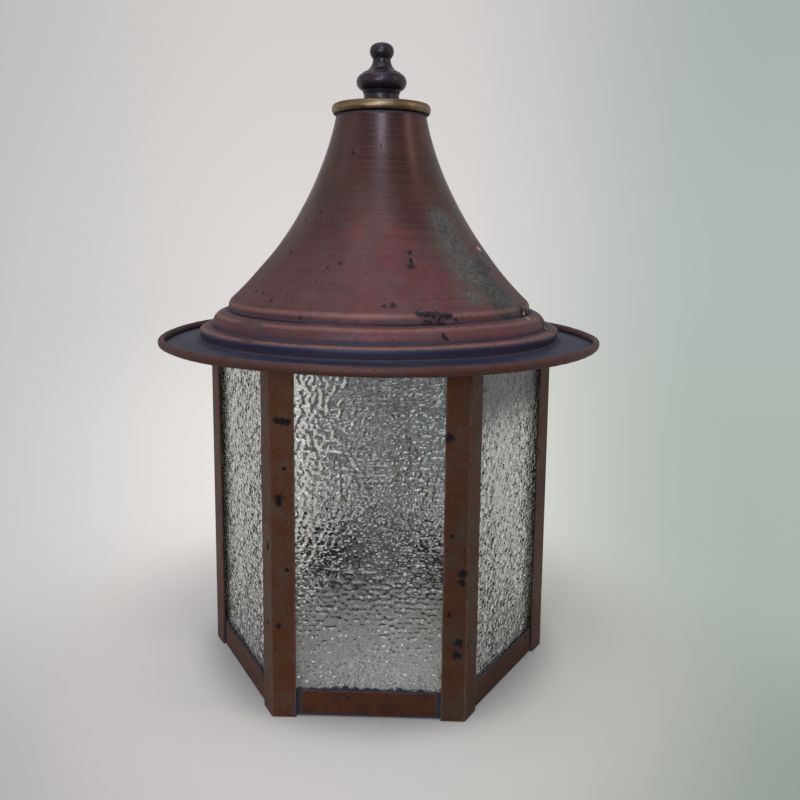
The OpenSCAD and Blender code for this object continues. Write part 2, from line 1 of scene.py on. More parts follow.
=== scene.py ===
"""Outdoor wall lantern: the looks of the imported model, laid out as an add-on and run as a script."""
import json
import math
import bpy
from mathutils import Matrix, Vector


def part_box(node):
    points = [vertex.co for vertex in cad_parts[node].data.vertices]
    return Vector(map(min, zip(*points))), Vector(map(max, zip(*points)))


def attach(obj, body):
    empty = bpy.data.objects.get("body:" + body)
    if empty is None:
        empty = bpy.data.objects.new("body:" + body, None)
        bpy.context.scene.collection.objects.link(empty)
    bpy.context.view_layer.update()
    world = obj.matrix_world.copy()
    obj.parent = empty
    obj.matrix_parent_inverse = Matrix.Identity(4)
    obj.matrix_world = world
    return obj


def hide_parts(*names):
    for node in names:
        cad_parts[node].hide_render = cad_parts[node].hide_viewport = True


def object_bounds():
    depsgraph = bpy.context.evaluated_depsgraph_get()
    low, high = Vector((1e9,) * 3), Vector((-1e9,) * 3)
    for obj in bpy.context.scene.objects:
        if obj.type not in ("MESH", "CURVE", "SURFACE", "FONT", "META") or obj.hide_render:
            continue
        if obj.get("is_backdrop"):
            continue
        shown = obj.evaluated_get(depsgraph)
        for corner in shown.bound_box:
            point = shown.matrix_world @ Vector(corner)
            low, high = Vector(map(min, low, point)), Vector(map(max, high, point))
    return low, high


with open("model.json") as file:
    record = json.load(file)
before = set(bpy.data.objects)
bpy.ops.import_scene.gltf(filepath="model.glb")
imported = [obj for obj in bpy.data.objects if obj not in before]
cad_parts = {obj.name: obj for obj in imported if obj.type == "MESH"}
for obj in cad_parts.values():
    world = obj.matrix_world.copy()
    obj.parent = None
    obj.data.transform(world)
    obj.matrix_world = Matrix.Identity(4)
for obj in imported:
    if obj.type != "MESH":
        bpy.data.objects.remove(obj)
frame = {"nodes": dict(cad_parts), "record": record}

from types import SimpleNamespace

import bpy
import numpy as np
from bpy.props import FloatProperty, FloatVectorProperty, IntProperty, PointerProperty
from mathutils import Matrix, Vector

bl_info = {
    "name": "Outdoor wall lantern",
    "version": (1, 0, 0),
    "blender": (4, 5, 0),
    "location": "3D View > Sidebar > Lantern",
    "description": "Builds the spun roof, folded posts, hammered panes and lampholder of a wall lantern",
    "category": "Object",
}

CAD_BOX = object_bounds()
MM = 0.001
PANED_BAYS = {"front": 0, "front_right": 1, "rear_right": 2, "rear_left": 4, "front_left": 5}
BAYS = {**PANED_BAYS, "rear": 3}
CORNERS = {"front_right": 0, "right": 1, "rear_right": 2, "rear_left": 3, "left": 4, "front_left": 5}

# Longest step along the outline of a folded sheet, and how its corners are eased
SHEET_STEP = 1.6 * MM
POST_EASE = 0.22 * MM
RAIL_EASE = 0.18 * MM

# Cells across and up the hammered face of a pane, and how many of them one cell of its back spans
PANE_CELLS = (208, 408)
PANE_COARSE = 8

# Rows along a post, columns along a ledge, and columns of putty beside and along a rail
POST_ROWS = 170
LEDGE_COLS = 40
PUTTY_COLS = (14, 260)

# Steps around the turned pieces and the floor, and rows in one turn of a thread
RING_STEPS = 192
FINIAL_STEPS = 144
GLOBE_STEPS = 96
THREAD_STEPS = 72
FLOOR_STEPS = 96
ROWS_PER_TURN = 14

# Points of the brim's outer line down to its floor
ROOF_TURNS = 40


# Settings

def length(label, words, value):
    """A length in metres."""
    return FloatProperty(name=label, description=words, default=value, min=0.0, precision=4, unit="LENGTH")


def slope(label, words, degrees):
    """An angle, given in degrees."""
    return FloatProperty(name=label, description=words, default=math.radians(degrees), subtype="ANGLE")


def power(label, words, value):
    """The power of a light."""
    return FloatProperty(name=label, description=words, default=value, unit="POWER")


def share(label, words, value):
    """A number from 0 to 1."""
    return FloatProperty(name=label, description=words, default=value, min=0.0, max=1.0, subtype="FACTOR")


def steps(label, words, value):
    """A number of steps around a turned piece."""
    return IntProperty(name=label, description=words, default=value, min=48)


def colour(label, words, value):
    """A linear colour."""
    return FloatVectorProperty(name=label, description=words, default=value, min=0.0, max=1.0, size=3,
                               subtype="COLOR")


class LanternSizes(bpy.types.PropertyGroup):
    """Sizes that the pieces are built from, the same as in the construction model."""

    side: length("Side", "Side of the hexagonal plan, outside the posts", 0.120)
    body_height: length("Body height", "Height of the posts", 0.2335)
    post_sheet: length("Post sheet", "Sheet thickness of the folded posts", 0.0015)
    flange: length("Flange", "Width of each flange of a post", 0.015)
    fold_round: length("Fold", "Outside radius of the fold in a post", 0.002)
    rail_height: length("Rail height", "Height of the bottom rails", 0.0164)
    rail_lift: length("Rail lift", "Gap under the bottom rails", 0.0012)
    rail_sheet: length("Rail sheet", "Sheet thickness of the rails", 0.0012)
    ledge: length("Ledge", "Depth of the ledge that a pane stands on", 0.009)
    rail_slot: length("Rail slot", "Open slot at each end of a rail's upright", 0.003)
    head_rail_height: length("Head rail", "Height of the head rails", 0.011)
    mitre_gap: length("Mitre gap", "Clearance where parts meet at a mitre", 0.0006)
    pane_sheet: length("Glass", "Thickness of the hammered panes", 0.003)
    pane_top_gap: length("Gap over a pane", "Space between a pane and the head ring", 0.0045)
    relief: length("Hammer depth", "Height of the pebbles in the hammered glass", 0.0021)
    pebble: length("Hammer pitch", "Distance between the pebbles in the hammered glass", 0.0036)
    roof_sheet: length("Roof sheet", "Sheet thickness of the spun roof", 0.0012)
    brim_radius: length("Brim radius", "Outer radius of the brim", 0.151)
    rim_roll: length("Rolled edge", "Height of the rolled edge", 0.006)
    rim_width: length("Rolled edge width", "Width of the rolled edge", 0.0044)
    bead_round: length("Bead", "Radius of the upper bead, a quarter round", 0.0091)
    step_width: length("Lower bead", "Width of the lower bead outside the upper one", 0.0089)
    step_height: length("Lower bead height", "Height of the lower bead over the brim", 0.00825)
    step_round: length("Lower bead turn", "Radius of the lower bead's upper corner", 0.0034)
    tuck: length("Tuck", "How far the lower bead draws in above the brim", 0.0015)
    foot_height: length("Foot", "Upright stretch of the bell over the beads", 0.00215)
    collar_height: length("Collar", "Height of the brim's collar inside the bell", 0.0018)
    foot_round: length("Foot turn", "Radius of the turn at the bell's foot", 0.0077)
    bell_height: length("Bell height", "Height of the bell from foot to neck", 0.1268)
    crown_radius: length("Neck radius", "Radius of the bell at its neck", 0.031)
    neck_pull: length("Neck pull", "How long the bell keeps its slope at the neck", 0.0373)
    foot_pull: length("Foot pull", "How long the bell keeps its slope at the foot", 0.0497)
    neck_slope: slope("Neck slope", "Slope of the bell at its neck, from upright", 11.5)
    foot_slope: slope("Foot slope", "Slope of the bell at its foot, from upright", 48.5)
    neck_height: length("Neck", "Height of the upright neck", 0.007)
    ring_height: length("Ring height", "Height of the brass crown ring", 0.0074)
    ring_out: length("Ring reach", "How far the crown ring stands out", 0.0026)
    thread_pitch: length("Thread pitch", "Pitch of the lamp's screw thread", 0.0036)
    bell_segments: steps("Bell segments", "Steps around the spun bell", 330)
    brim_segments: steps("Brim segments", "Steps around the spun brim", 480)


class LanternColours(bpy.types.PropertyGroup):
    """Colours of the finishes."""

    brown: colour("Brown patina", "Tone of the aged copper near the neck", (0.056, 0.023, 0.018))
    mauve: colour("Mauve patina", "Cool tone of the aged copper on the bell and beads", (0.084, 0.034, 0.038))
    red: colour("Red patina", "Redder tone of the aged copper", (0.099, 0.026, 0.028))
    umber: colour("Umber patina", "Dark tone of the aged copper", (0.034, 0.017, 0.014))
    moss: colour("Moss patina", "Olive grey of old patches on the roof", (0.066, 0.062, 0.054))
    post: colour("Post patina", "Main tone of the posts and rails", (0.070, 0.024, 0.010))
    olive: colour("Olive patina", "Greyer tone of the posts", (0.062, 0.043, 0.030))
    murk: colour("Murk", "Dark olive of the oldest corrosion on the roof", (0.030, 0.029, 0.024))
    bark: colour("Rim patina", "Brown of the brim's rolled edge", (0.060, 0.020, 0.011))
    navy: colour("Gutter film", "Blue-black film on the brim's floor", (0.014, 0.018, 0.048))
    # The crease colour is also painted shade in creases, hollows, inner faces and ledges.
    crease: colour("Crease film", "Dark film in the creases", (0.024, 0.022, 0.040))
    # Soot is also painted shade at the crown ring's foot and in the finial's hollows.
    soot: colour("Soot", "Dirt in the dents and hollows", (0.005, 0.004, 0.006))
    verdigris: colour("Verdigris", "Grey-green corrosion", (0.088, 0.086, 0.076))
    # Bare copper also goes into the painted highlights on rubbed crowns, folds and edges.
    copper: colour("Bare copper", "Metal where the patina is rubbed off", (0.560, 0.290, 0.210))
    brass: colour("Brass", "Aged brass of the crown ring", (0.190, 0.135, 0.078))
    bronze: colour("Bronze", "Dark lacquered bronze of the finial", (0.018, 0.008, 0.017))
    tin: colour("Tinned plate", "Inside of the back plate", (0.270, 0.282, 0.305))
    glass: colour("Glass", "Tint of the panes", (0.915, 0.922, 0.892))
    porcelain: colour("Porcelain", "Insulator of the lampholder", (0.760, 0.740, 0.680))
    floor: colour("Floor", "Pale floor", (0.520, 0.480, 0.458))


class LanternStage(bpy.types.PropertyGroup):
    """Light, floor and camera."""

    key: power("Key light", "Power of the large top light", 2.6)
    front: power("Front light", "Power of the low cool light in front", 7.5)
    high: power("High light", "Power of the high cool light in front", 5.8)
    warm: power("Side light", "Power of the warm light on the right", 1.3)
    fill: power("Fill light", "Power of the light on the left", 1.2)
    ambient: share("Ambient", "Strength of the world for diffuse light", 0.6)
    floor_fade: length("Floor fade", "Radius at which the floor has faded into the backdrop", 0.30)
    lens: FloatProperty(name="Lens", description="Focal length of the camera in millimetres", default=38.25)
    camera: FloatVectorProperty(name="Camera", description="Place of the camera", size=3, unit="LENGTH",
                                default=(0.0331, -0.5937, 0.3040))


# Plan: what follows from the sizes

def cosd(degrees):
    """Cosine of an angle in degrees."""
    return math.cos(math.radians(degrees))


def sind(degrees):
    """Sine of an angle in degrees."""
    return math.sin(math.radians(degrees))


def mitre(size, depth):
    """Half the width of a bay at a depth, up to the mitre."""
    return depth * math.tan(math.radians(30)) - size.mitre_gap


def plan(size):
    """Derived measures, named as in the construction model."""
    p = SimpleNamespace()
    p.apothem = size.side * cosd(30)
    p.rail_y = p.apothem - size.post_sheet
    p.pane_y = p.rail_y - size.rail_sheet
    p.pane_back = p.pane_y - size.pane_sheet
    p.pane_half = mitre(size, p.pane_back)
    p.ledge_z = size.rail_lift + size.rail_sheet
    p.ledge_back = p.rail_y - size.ledge
    p.rail_top = size.rail_lift + size.rail_height
    p.pane_top = size.body_height - size.pane_top_gap
    p.slot_x = size.side / 2 - size.flange - size.rail_slot
    p.head_r = size.side + 0.6 * MM
    p.head_top = size.body_height + 2 * MM
    p.bead_out = p.head_r + 3.2 * MM
    p.bead_mid = p.bead_out - size.step_width
    p.bead_x = p.bead_mid - size.bead_round
    p.foot_r = p.bead_x - 1.7 * MM
    p.step_z = p.head_top + 0.3 * MM + size.roof_sheet
    p.bead_z = p.step_z + 0.9 * MM
    p.bead_top = p.bead_z + size.bead_round
    p.brim_z = p.step_z - size.step_height
    drop = size.step_height - size.step_round - 0.6 * MM
    p.tuck_r = (drop ** 2 + size.tuck ** 2) / (2 * size.tuck)
    p.tuck_turn = math.degrees(math.asin(drop / p.tuck_r))
    p.floor_x = p.bead_out - size.tuck + 0.3 * MM
    p.foot_z = p.bead_top + size.foot_height
    p.crown_z = p.foot_z + size.bell_height
    p.neck_top = p.crown_z + size.neck_height
    p.roll_x = size.brim_radius - size.rim_width / 2
    p.roll_z = p.brim_z - 1.4 * MM
    p.curl_in = p.roll_x - size.rim_width / 2
    p.collar_r = p.foot_r - size.roof_sheet - 0.3 * MM
    return p


# Shapes: lists of points, grids and meshes

def arc(cx, cz, rx, rz, start, end, count):
    """Points along an ellipse's arc, angles in degrees."""
    return [(cx + rx * cosd(a), cz + rz * sind(a)) for a in np.linspace(start, end, count + 1)]


def bezier(a, b, c, d, t):
    """Point and direction on a cubic curve."""
    a, b, c, d = map(np.array, (a, b, c, d))
    u = 1 - t
    at = u ** 3 * a + 3 * t * u * u * b + 3 * t * t * u * c + t ** 3 * d
    way = u * u * (b - a) + 2 * t * u * (c - b) + t * t * (d - c)
    return at, way / np.linalg.norm(way)


def resampled(points, step):
    """The same line with a point at least every step."""
    points = [np.array(p, float) for p in points]
    out = [points[0]]
    for a, b in zip(points, points[1:]):
        count = max(1, math.ceil(np.linalg.norm(b - a) / step - 1e-6))
        out += [a + (b - a) * i / count for i in range(1, count + 1)]
    return np.array(out)


def sheet_section(points, ease):
    """Section of a folded sheet: a closed outline with its corners cut back a little, to catch light."""
    points = [np.array(p, float) for p in points]
    out = []
    for before, at, after in zip(points[-1:] + points[:-1], points, points[1:] + points[:1]):
        to_a, to_b = before - at, after - at
        la, lb = np.linalg.norm(to_a), np.linalg.norm(to_b)
        turn = abs(to_a[0] * to_b[1] - to_a[1] * to_b[0]) / (la * lb)
        if turn < 0.5:
            out.append(at)
            continue
        cut = min(ease, 0.4 * la, 0.4 * lb)
        out += [at + to_a / la * cut, at + (to_a / la + to_b / lb) * cut * 0.3, at + to_b / lb * cut]
    return resampled(out + out[:1], SHEET_STEP)[:-1]


def ripple(points, wavelength, seed, waves=12):
    """Smooth random swell at each point, about -1 to 1."""
    rng = np.random.default_rng(seed)
    ways = rng.normal(size=(waves, 3))
    pitch = 2 * math.pi / wavelength * rng.uniform(0.6, 1.5, (waves, 1))
    ways *= pitch / np.linalg.norm(ways, axis=1)[:, None]
    return np.sin(points @ ways.T + rng.uniform(0, 2 * math.pi, waves)).sum(1) / math.sqrt(waves)


def fading(distance, reach):
    """1 at no distance, falling smoothly to 0. The reach is in millimetres."""
    return np.exp(-(distance / (reach * MM)) ** 2)


def near(points, spot, reach):
    """1 at the spot, falling smoothly to 0.2 at the reach, which is in millimetres."""
    away = ((points - np.array(spot)) ** 2).sum(1)
    return np.exp(-away / (reach * MM) ** 2 * 1.6)


def fading_from(r, z, places):
    """Sum of fadings around some places (r, z, reach) of a section."""
    return sum(np.exp(-((r - a) ** 2 + (z - b) ** 2) / (w * MM) ** 2) for a, b, w in places)


def grid_faces(rows, cols, wrap_rows=False, wrap_cols=False):
    """Quads of a grid of points stored row by row."""
    r = np.arange(rows if wrap_rows else rows - 1)
    c = np.arange(cols if wrap_cols else cols - 1)
    r, c = np.meshgrid(r, c, indexing="ij")
    r2, c2 = (r + 1) % rows, (c + 1) % cols
    return np.stack([r * cols + c, r * cols + c2, r2 * cols + c2, r2 * cols + c], -1).reshape(-1, 4).tolist()


def capped_faces(rows, cols):
    """Faces of a tube of rings stored row by row, with both ends closed."""
    last = (rows - 1) * cols
    return grid_faces(rows, cols, wrap_cols=True) + [list(range(cols))[::-1], list(range(last, last + cols))]


def make_piece(name, points, faces, body, stands_for, slot, marks=None, crease=32):
    """A mesh object that rides on a body of the frame. marks are named values at its points."""
    mesh = bpy.data.meshes.new(name)
    mesh.from_pydata(np.asarray(points).tolist(), [], faces)
    mesh.validate()
    for label, values in (marks or {}).items():
        layer = mesh.attributes.new(label, "FLOAT", "POINT")
        layer.data.foreach_set("value", np.clip(values, 0, 1).astype(np.float32))
    mesh.shade_smooth()
    mesh.set_sharp_from_angle(angle=math.radians(crease))
    mesh.materials.append(finish_of(slot or "grime"))
    piece = bpy.data.objects.new(name, mesh)
    bpy.context.scene.collection.objects.link(piece)
    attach(piece, body)
    if stands_for:
        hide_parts(*stands_for)
    return piece


def ring(radii, heights, angle):
    """Points around Z for each radius and height, row by row."""
    heights = np.broadcast_to(np.reshape(heights, (-1, 1)), (len(heights), len(angle)))
    return np.stack([radii * np.cos(angle), radii * np.sin(angle), heights], -1).reshape(-1, 3)


def around(count):
    """Angles of the steps around a turned piece."""
    return np.linspace(0, 2 * math.pi, count, endpoint=False)


def turned(section, segments):
    """Points of a closed section turned around Z, row by row, with the section's row numbers."""
    section = np.asarray(section)
    return ring(section[:, :1], section[:, 1], around(segments)), np.repeat(np.arange(len(section)), segments)


def turned_normals(section, segments):
    """Outward directions for the points of turned(), whichever way the section runs."""
    section = np.asarray(section)
    way = np.roll(section, -1, 0) - np.roll(section, 1, 0)
    way /= np.maximum(np.linalg.norm(way, axis=1), 1e-12)[:, None]
    area = (section[:, 0] * np.roll(section[:, 1], -1) - np.roll(section[:, 0], -1) * section[:, 1]).sum()
    out = np.stack([way[:, 1], -way[:, 0]], 1) * (1 if area > 0 else -1)
    return ring(out[:, :1], out[:, 1], around(segments))


def turned_piece(name, section, segments, body, stands_for, slot, crease=32, marks=None, dent=0.0):
    """A closed section turned around Z, with an optional slight unevenness."""
    points, _ = turned(section, segments)
    if dent:
        points -= turned_normals(section, segments) * (dent * (0.5 + 0.5 * ripple(points, 0.012, 5)))[:, None]
    faces = grid_faces(len(section), segments, wrap_rows=True, wrap_cols=True)
    return make_piece(name, points, faces, body, stands_for, slot, marks and marks(points), crease)


def on_bay(points, bay):
    """Points of the front bay turned to another bay."""
    c, s = cosd(60 * bay), sind(60 * bay)
    x, y, z = np.asarray(points).T
    return np.stack([x * c - y * s, x * s + y * c, z], 1)


# Shader nodes

def rgba(value):
    """A colour with its alpha."""
    return tuple(value) if len(value) == 4 else (*value, 1.0)


def wire(tree, sockets, values):
    """Gives sockets their values. A value that is a node or a socket is linked, and any other is set."""
    for key, value in values.items():
        socket = sockets[key]
        if isinstance(value, bpy.types.Node):
            value = value.outputs[0]
        if isinstance(value, bpy.types.NodeSocket):
            tree.links.new(value, socket)
        else:
            socket.default_value = rgba(value) if socket.type == "RGBA" else value


def put(tree, kind, values=None, **settings):
    """Adds a shader node with its settings, and with its values by input."""
    node = tree.nodes.new("ShaderNode" + kind)
    for key, value in settings.items():
        setattr(node, key, value)
    wire(tree, node.inputs, values or {})
    return node


def maths(tree, operation, *values):
    """A number from one step of arithmetic."""
    return put(tree, "Math", dict(enumerate(values)), operation=operation).outputs[0]


def plus(tree, a, b):
    """Sum of two numbers."""
    return maths(tree, "ADD", a, b)


def less(tree, a, b):
    """The first number less the second."""
    return maths(tree, "SUBTRACT", a, b)


def times(tree, a, b):
    """Product of two numbers."""
    return maths(tree, "MULTIPLY", a, b)


def most(tree, a, b):
    """The larger of two numbers."""
    return maths(tree, "MAXIMUM", a, b)


def axis(tree, at, index):
    """X, Y or Z of a vector, by its index."""
    return put(tree, "SeparateXYZ", {0: at}).outputs[index]


def mixed(tree, factor, a, b, blend="MIX"):
    """Mix of two colours."""
    return put(tree, "Mix", {0: factor, 6: a, 7: b}, data_type="RGBA", blend_type=blend).outputs[2]


def shaded(tree, paint, value):
    """A colour made lighter or darker by a number."""
    tone = put(tree, "CombineColor", {0: value, 1: value, 2: value})
    return mixed(tree, 1.0, paint, tone, "MULTIPLY")


def blended(tree, factor, a, b):
    """Mix of two numbers."""
    return put(tree, "Mix", {0: factor, 2: a, 3: b}, data_type="FLOAT").outputs[0]


def stepped(tree, value, low, high, to_low=0.0, to_high=1.0):
    """Smooth step of a value between two limits."""
    return put(tree, "MapRange", {0: value, 1: low, 2: high, 3: to_low, 4: to_high},
               interpolation_type="SMOOTHSTEP").outputs[0]


def noise(tree, at, scale, detail, roughness=0.5, distortion=0.0):
    """Cloudy noise, mostly between 0.3 and 0.7."""
    return put(tree, "TexNoise", {"Vector": at, "Scale": scale, "Detail": detail, "Roughness": roughness,
                                  "Distortion": distortion}).outputs["Fac"]


def bumped(tree, height, depth):
    """Normals of a slight relief, with its depth in millimetres."""
    return put(tree, "Bump", {"Strength": 1.0, "Distance": depth * MM, "Height": height}).outputs[0]


def mark(tree, name):
    """Values that the mesh code left on the piece."""
    return put(tree, "Attribute", attribute_name=name).outputs["Fac"]


def nearest(tree, at, places):
    """Closeness to the nearest of some places (point, reach): 1 in its middle and 0 at its reach."""
    level = None
    for point, reach in places:
        away = put(tree, "VectorMath", {0: at, 1: point}, operation="DISTANCE").outputs["Value"]
        part = maths(tree, "MULTIPLY_ADD", away, -1 / reach, 1.0)
        level = part if level is None else most(tree, level, part)
    return level


# Effects that several materials share, as node groups

def new_group(name, results, **values):
    """A node group that takes a vector and values (numbers or colours), and gives results of some kinds."""
    tree = bpy.data.node_groups.new(name, "ShaderNodeTree")
    tree.interface.new_socket("Vector", in_out="INPUT", socket_type="NodeSocketVector")
    for label, value in values.items():
        kind = "NodeSocketColor" if isinstance(value, tuple) else "NodeSocketFloat"
        tree.interface.new_socket(label, in_out="INPUT", socket_type=kind).default_value = value
    for label, kind in results.items():
        tree.interface.new_socket(label, in_out="OUTPUT", socket_type="NodeSocket" + kind)
    return tree, tree.nodes.new("NodeGroupInput").outputs, tree.nodes.new("NodeGroupOutput").inputs


def use(tree, name, at, **values):
    """Places a node group, with its values by input name."""
    return put(tree, "Group", {"Vector": at, **values}, node_tree=bpy.data.node_groups[name]).outputs


def mottled(tree, at, scale, spread, base, second, third):
    """Colour and mask of three mottled tones."""
    return use(tree, "Mottled tones", at, Scale=scale, Spread=spread, Base=base, Second=second, Third=third)


def ragged(tree, at, place, scale, raggedness, threshold, softness):
    """Ragged patches where the place, a mark of the mesh or a number, is high."""
    place = mark(tree, place) if isinstance(place, str) else place
    return use(tree, "Ragged patch", at, Place=place, Scale=scale, Raggedness=raggedness, Threshold=threshold,
               Softness=softness)["Mask"]


def pitted(tree, at, scale, amount, dot):
    """Scattered dots: how many of the cells have one, and its size in a cell."""
    return use(tree, "Pits", at, Scale=scale, Share=amount, Size=dot)["Mask"]


def scratched(tree, at, scale, amount):
    """Fine scratches in three directions."""
    return use(tree, "Fine scratches", at, Scale=scale, Amount=amount)["Mask"]


def dusted(tree, at, amount):
    """Dust on what faces up."""
    return use(tree, "Settled dust", at, Amount=amount)["Mask"]


def build_groups():
    """Makes the node groups."""
    neutral = (0.5, 0.5, 0.5, 1)
    tree, i, o = new_group("Mottled tones", {"Colour": "Color", "Mask": "Float"}, Scale=30.0, Spread=0.2,
                           Base=neutral, Second=neutral, Third=neutral)
    low = less(tree, 0.5, i["Spread"])
    high = plus(tree, 0.5, i["Spread"])
    first = stepped(tree, noise(tree, i["Vector"], i["Scale"], 6.0, 0.62), low, high)
    finer = noise(tree, i["Vector"], times(tree, i["Scale"], 2.7), 5.0, 0.6, 0.4)
    second = stepped(tree, finer, plus(tree, low, 0.08), plus(tree, high, 0.08))
    tones = mixed(tree, second, mixed(tree, first, i["Base"], i["Second"]), i["Third"])
    wire(tree, o, {"Colour": tones, "Mask": first})

    tree, i, o = new_group("Ragged patch", {"Mask": "Float"}, Place=0.0, Scale=300.0, Raggedness=0.8,
                           Threshold=0.5, Softness=0.12)
    grain = less(tree, noise(tree, i["Vector"], i["Scale"], 6.0, 0.68), 0.5)
    level = plus(tree, i["Place"], times(tree, grain, i["Raggedness"]))
    wire(tree, o, {"Mask": stepped(tree, level, less(tree, i["Threshold"], i["Softness"]),
                                   plus(tree, i["Threshold"], i["Softness"]))})

    tree, i, o = new_group("Pits", {"Mask": "Float"}, Scale=400.0, Share=0.08, Size=0.3)
    cells = put(tree, "TexVoronoi", {"Vector": i["Vector"], "Scale": i["Scale"]}).outputs
    lot = put(tree, "SeparateColor", {0: cells["Color"]}).outputs
    chosen = maths(tree, "LESS_THAN", lot[0], i["Share"])
    radius = times(tree, i["Size"], plus(tree, 0.5, lot[1]))
    dot = less(tree, 1.0, stepped(tree, cells["Distance"], times(tree, radius, 0.4), radius))
    wire(tree, o, {"Mask": times(tree, dot, chosen)})

    tree, i, o = new_group("Fine scratches", {"Mask": "Float"}, Scale=90.0, Amount=0.3)
    lines = []
    for turn, stretch in (((0.2, 0.5, 0.3), (1, 16, 1)), ((1.1, 0.3, 0.9), (18, 1, 1)),
                          ((0.4, 1.3, 0.1), (1, 1, 22))):
        place = put(tree, "Mapping", {"Vector": i["Vector"], "Rotation": turn, "Scale": stretch})
        lines.append(stepped(tree, noise(tree, place, i["Scale"], 2.0), 0.66, 0.72))
    every = most(tree, most(tree, lines[0], lines[1]), lines[2])
    wire(tree, o, {"Mask": times(tree, every, i["Amount"])})

    tree, i, o = new_group("Spinning lines", {"Height": "Float"}, Run=0.0, Pitch=0.0011)
    across = [times(tree, axis(tree, i["Vector"], index), 9.0) for index in (0, 1)]
    turns = maths(tree, "DIVIDE", i["Run"], i["Pitch"])
    coil = put(tree, "CombineXYZ", {0: across[0], 1: across[1], 2: turns})
    wire(tree, o, {"Height": noise(tree, coil, 1.0, 3.0, 0.7)})

    tree, i, o = new_group("Settled dust", {"Mask": "Float"}, Amount=0.3)
    facing = stepped(tree, axis(tree, put(tree, "NewGeometry").outputs["Normal"], 2), 0.1, 0.95)
    cloud = stepped(tree, noise(tree, i["Vector"], 55.0, 7.0, 0.7), 0.38, 0.7)
    wire(tree, o, {"Mask": times(tree, facing, times(tree, cloud, i["Amount"]))})


# Materials

def new_material(name):
    """Makes a finish, and gives its tree, its shader's inputs and the object's coordinates."""
    material = bpy.data.materials.new("finish_" + name)
    material.use_nodes = True
    tree = material.node_tree
    tree.nodes.clear()
    shader = put(tree, "BsdfPrincipled")
    put(tree, "OutputMaterial", {0: shader})
    return tree, shader.inputs, put(tree, "TexCoord").outputs["Object"]


def mix_in(tree, factor, other):
    """Mixes another shader into a material."""
    out = next(n for n in tree.nodes if n.bl_idname == "ShaderNodeOutputMaterial").inputs[0]
    pick = put(tree, "MixShader", {0: factor, 1: out.links[0].from_socket, 2: other})
    tree.links.new(pick.outputs[0], out)


def scaled(tone, factor):
    """A colour times a number, up to 1."""
    return [min(1, v * factor) for v in tone]


def spun_patina(tree, at, scale, paint, roughness, height):
    """What only the roof shows: a brown neck, painted shade on the left and painted light on the right,
    spinning lines, blush, moss, gutter film, rim and murk.
    """
    c = bpy.context.scene.lantern_colours
    rise = stepped(tree, axis(tree, at, 2), 0.262, 0.325)
    upper = mottled(tree, at, scale * 1.4, 0.2, c.brown, c.umber, c.brown)["Colour"]
    paint = mixed(tree, times(tree, rise, 0.85), paint, upper)
    # Painted light: the roof is shaded darker on its left and lit lighter on its right.
    paint = shaded(tree, paint, stepped(tree, axis(tree, at, 0), -0.08, 0.05, 0.87, 1.08))
    roughness = less(tree, roughness, times(tree, rise, 0.25))
    blush = ragged(tree, at, "blush", 45.0, 0.9, 0.5, 0.4)
    paint = mixed(tree, times(tree, blush, 0.75), paint, c.red)
    lines = use(tree, "Spinning lines", at, Run=mark(tree, "run"))["Height"]
    paint = shaded(tree, paint, stepped(tree, lines, 0.3, 0.7, 0.84, 1.14))
    roughness = plus(tree, roughness, times(tree, less(tree, lines, 0.5), 0.2))
    height = plus(tree, times(tree, height, 0.35), lines)
    moss = ragged(tree, at, "verdigris", 38.0, 0.9, 0.42, 0.36)
    paint = mixed(tree, times(tree, moss, 0.8), paint, c.moss)
    film = ragged(tree, at, "gutter", 70.0, 0.5, 0.42, 0.36)
    paint = mixed(tree, times(tree, film, 0.94), paint, c.navy)
    paint = mixed(tree, times(tree, mark(tree, "rim"), 0.9), paint, c.bark)
    murk = ragged(tree, at, "murk", 95.0, 1.8, 0.55, 0.25)
    paint = mixed(tree, times(tree, murk, 0.85), paint, c.murk)
    return paint, roughness, height


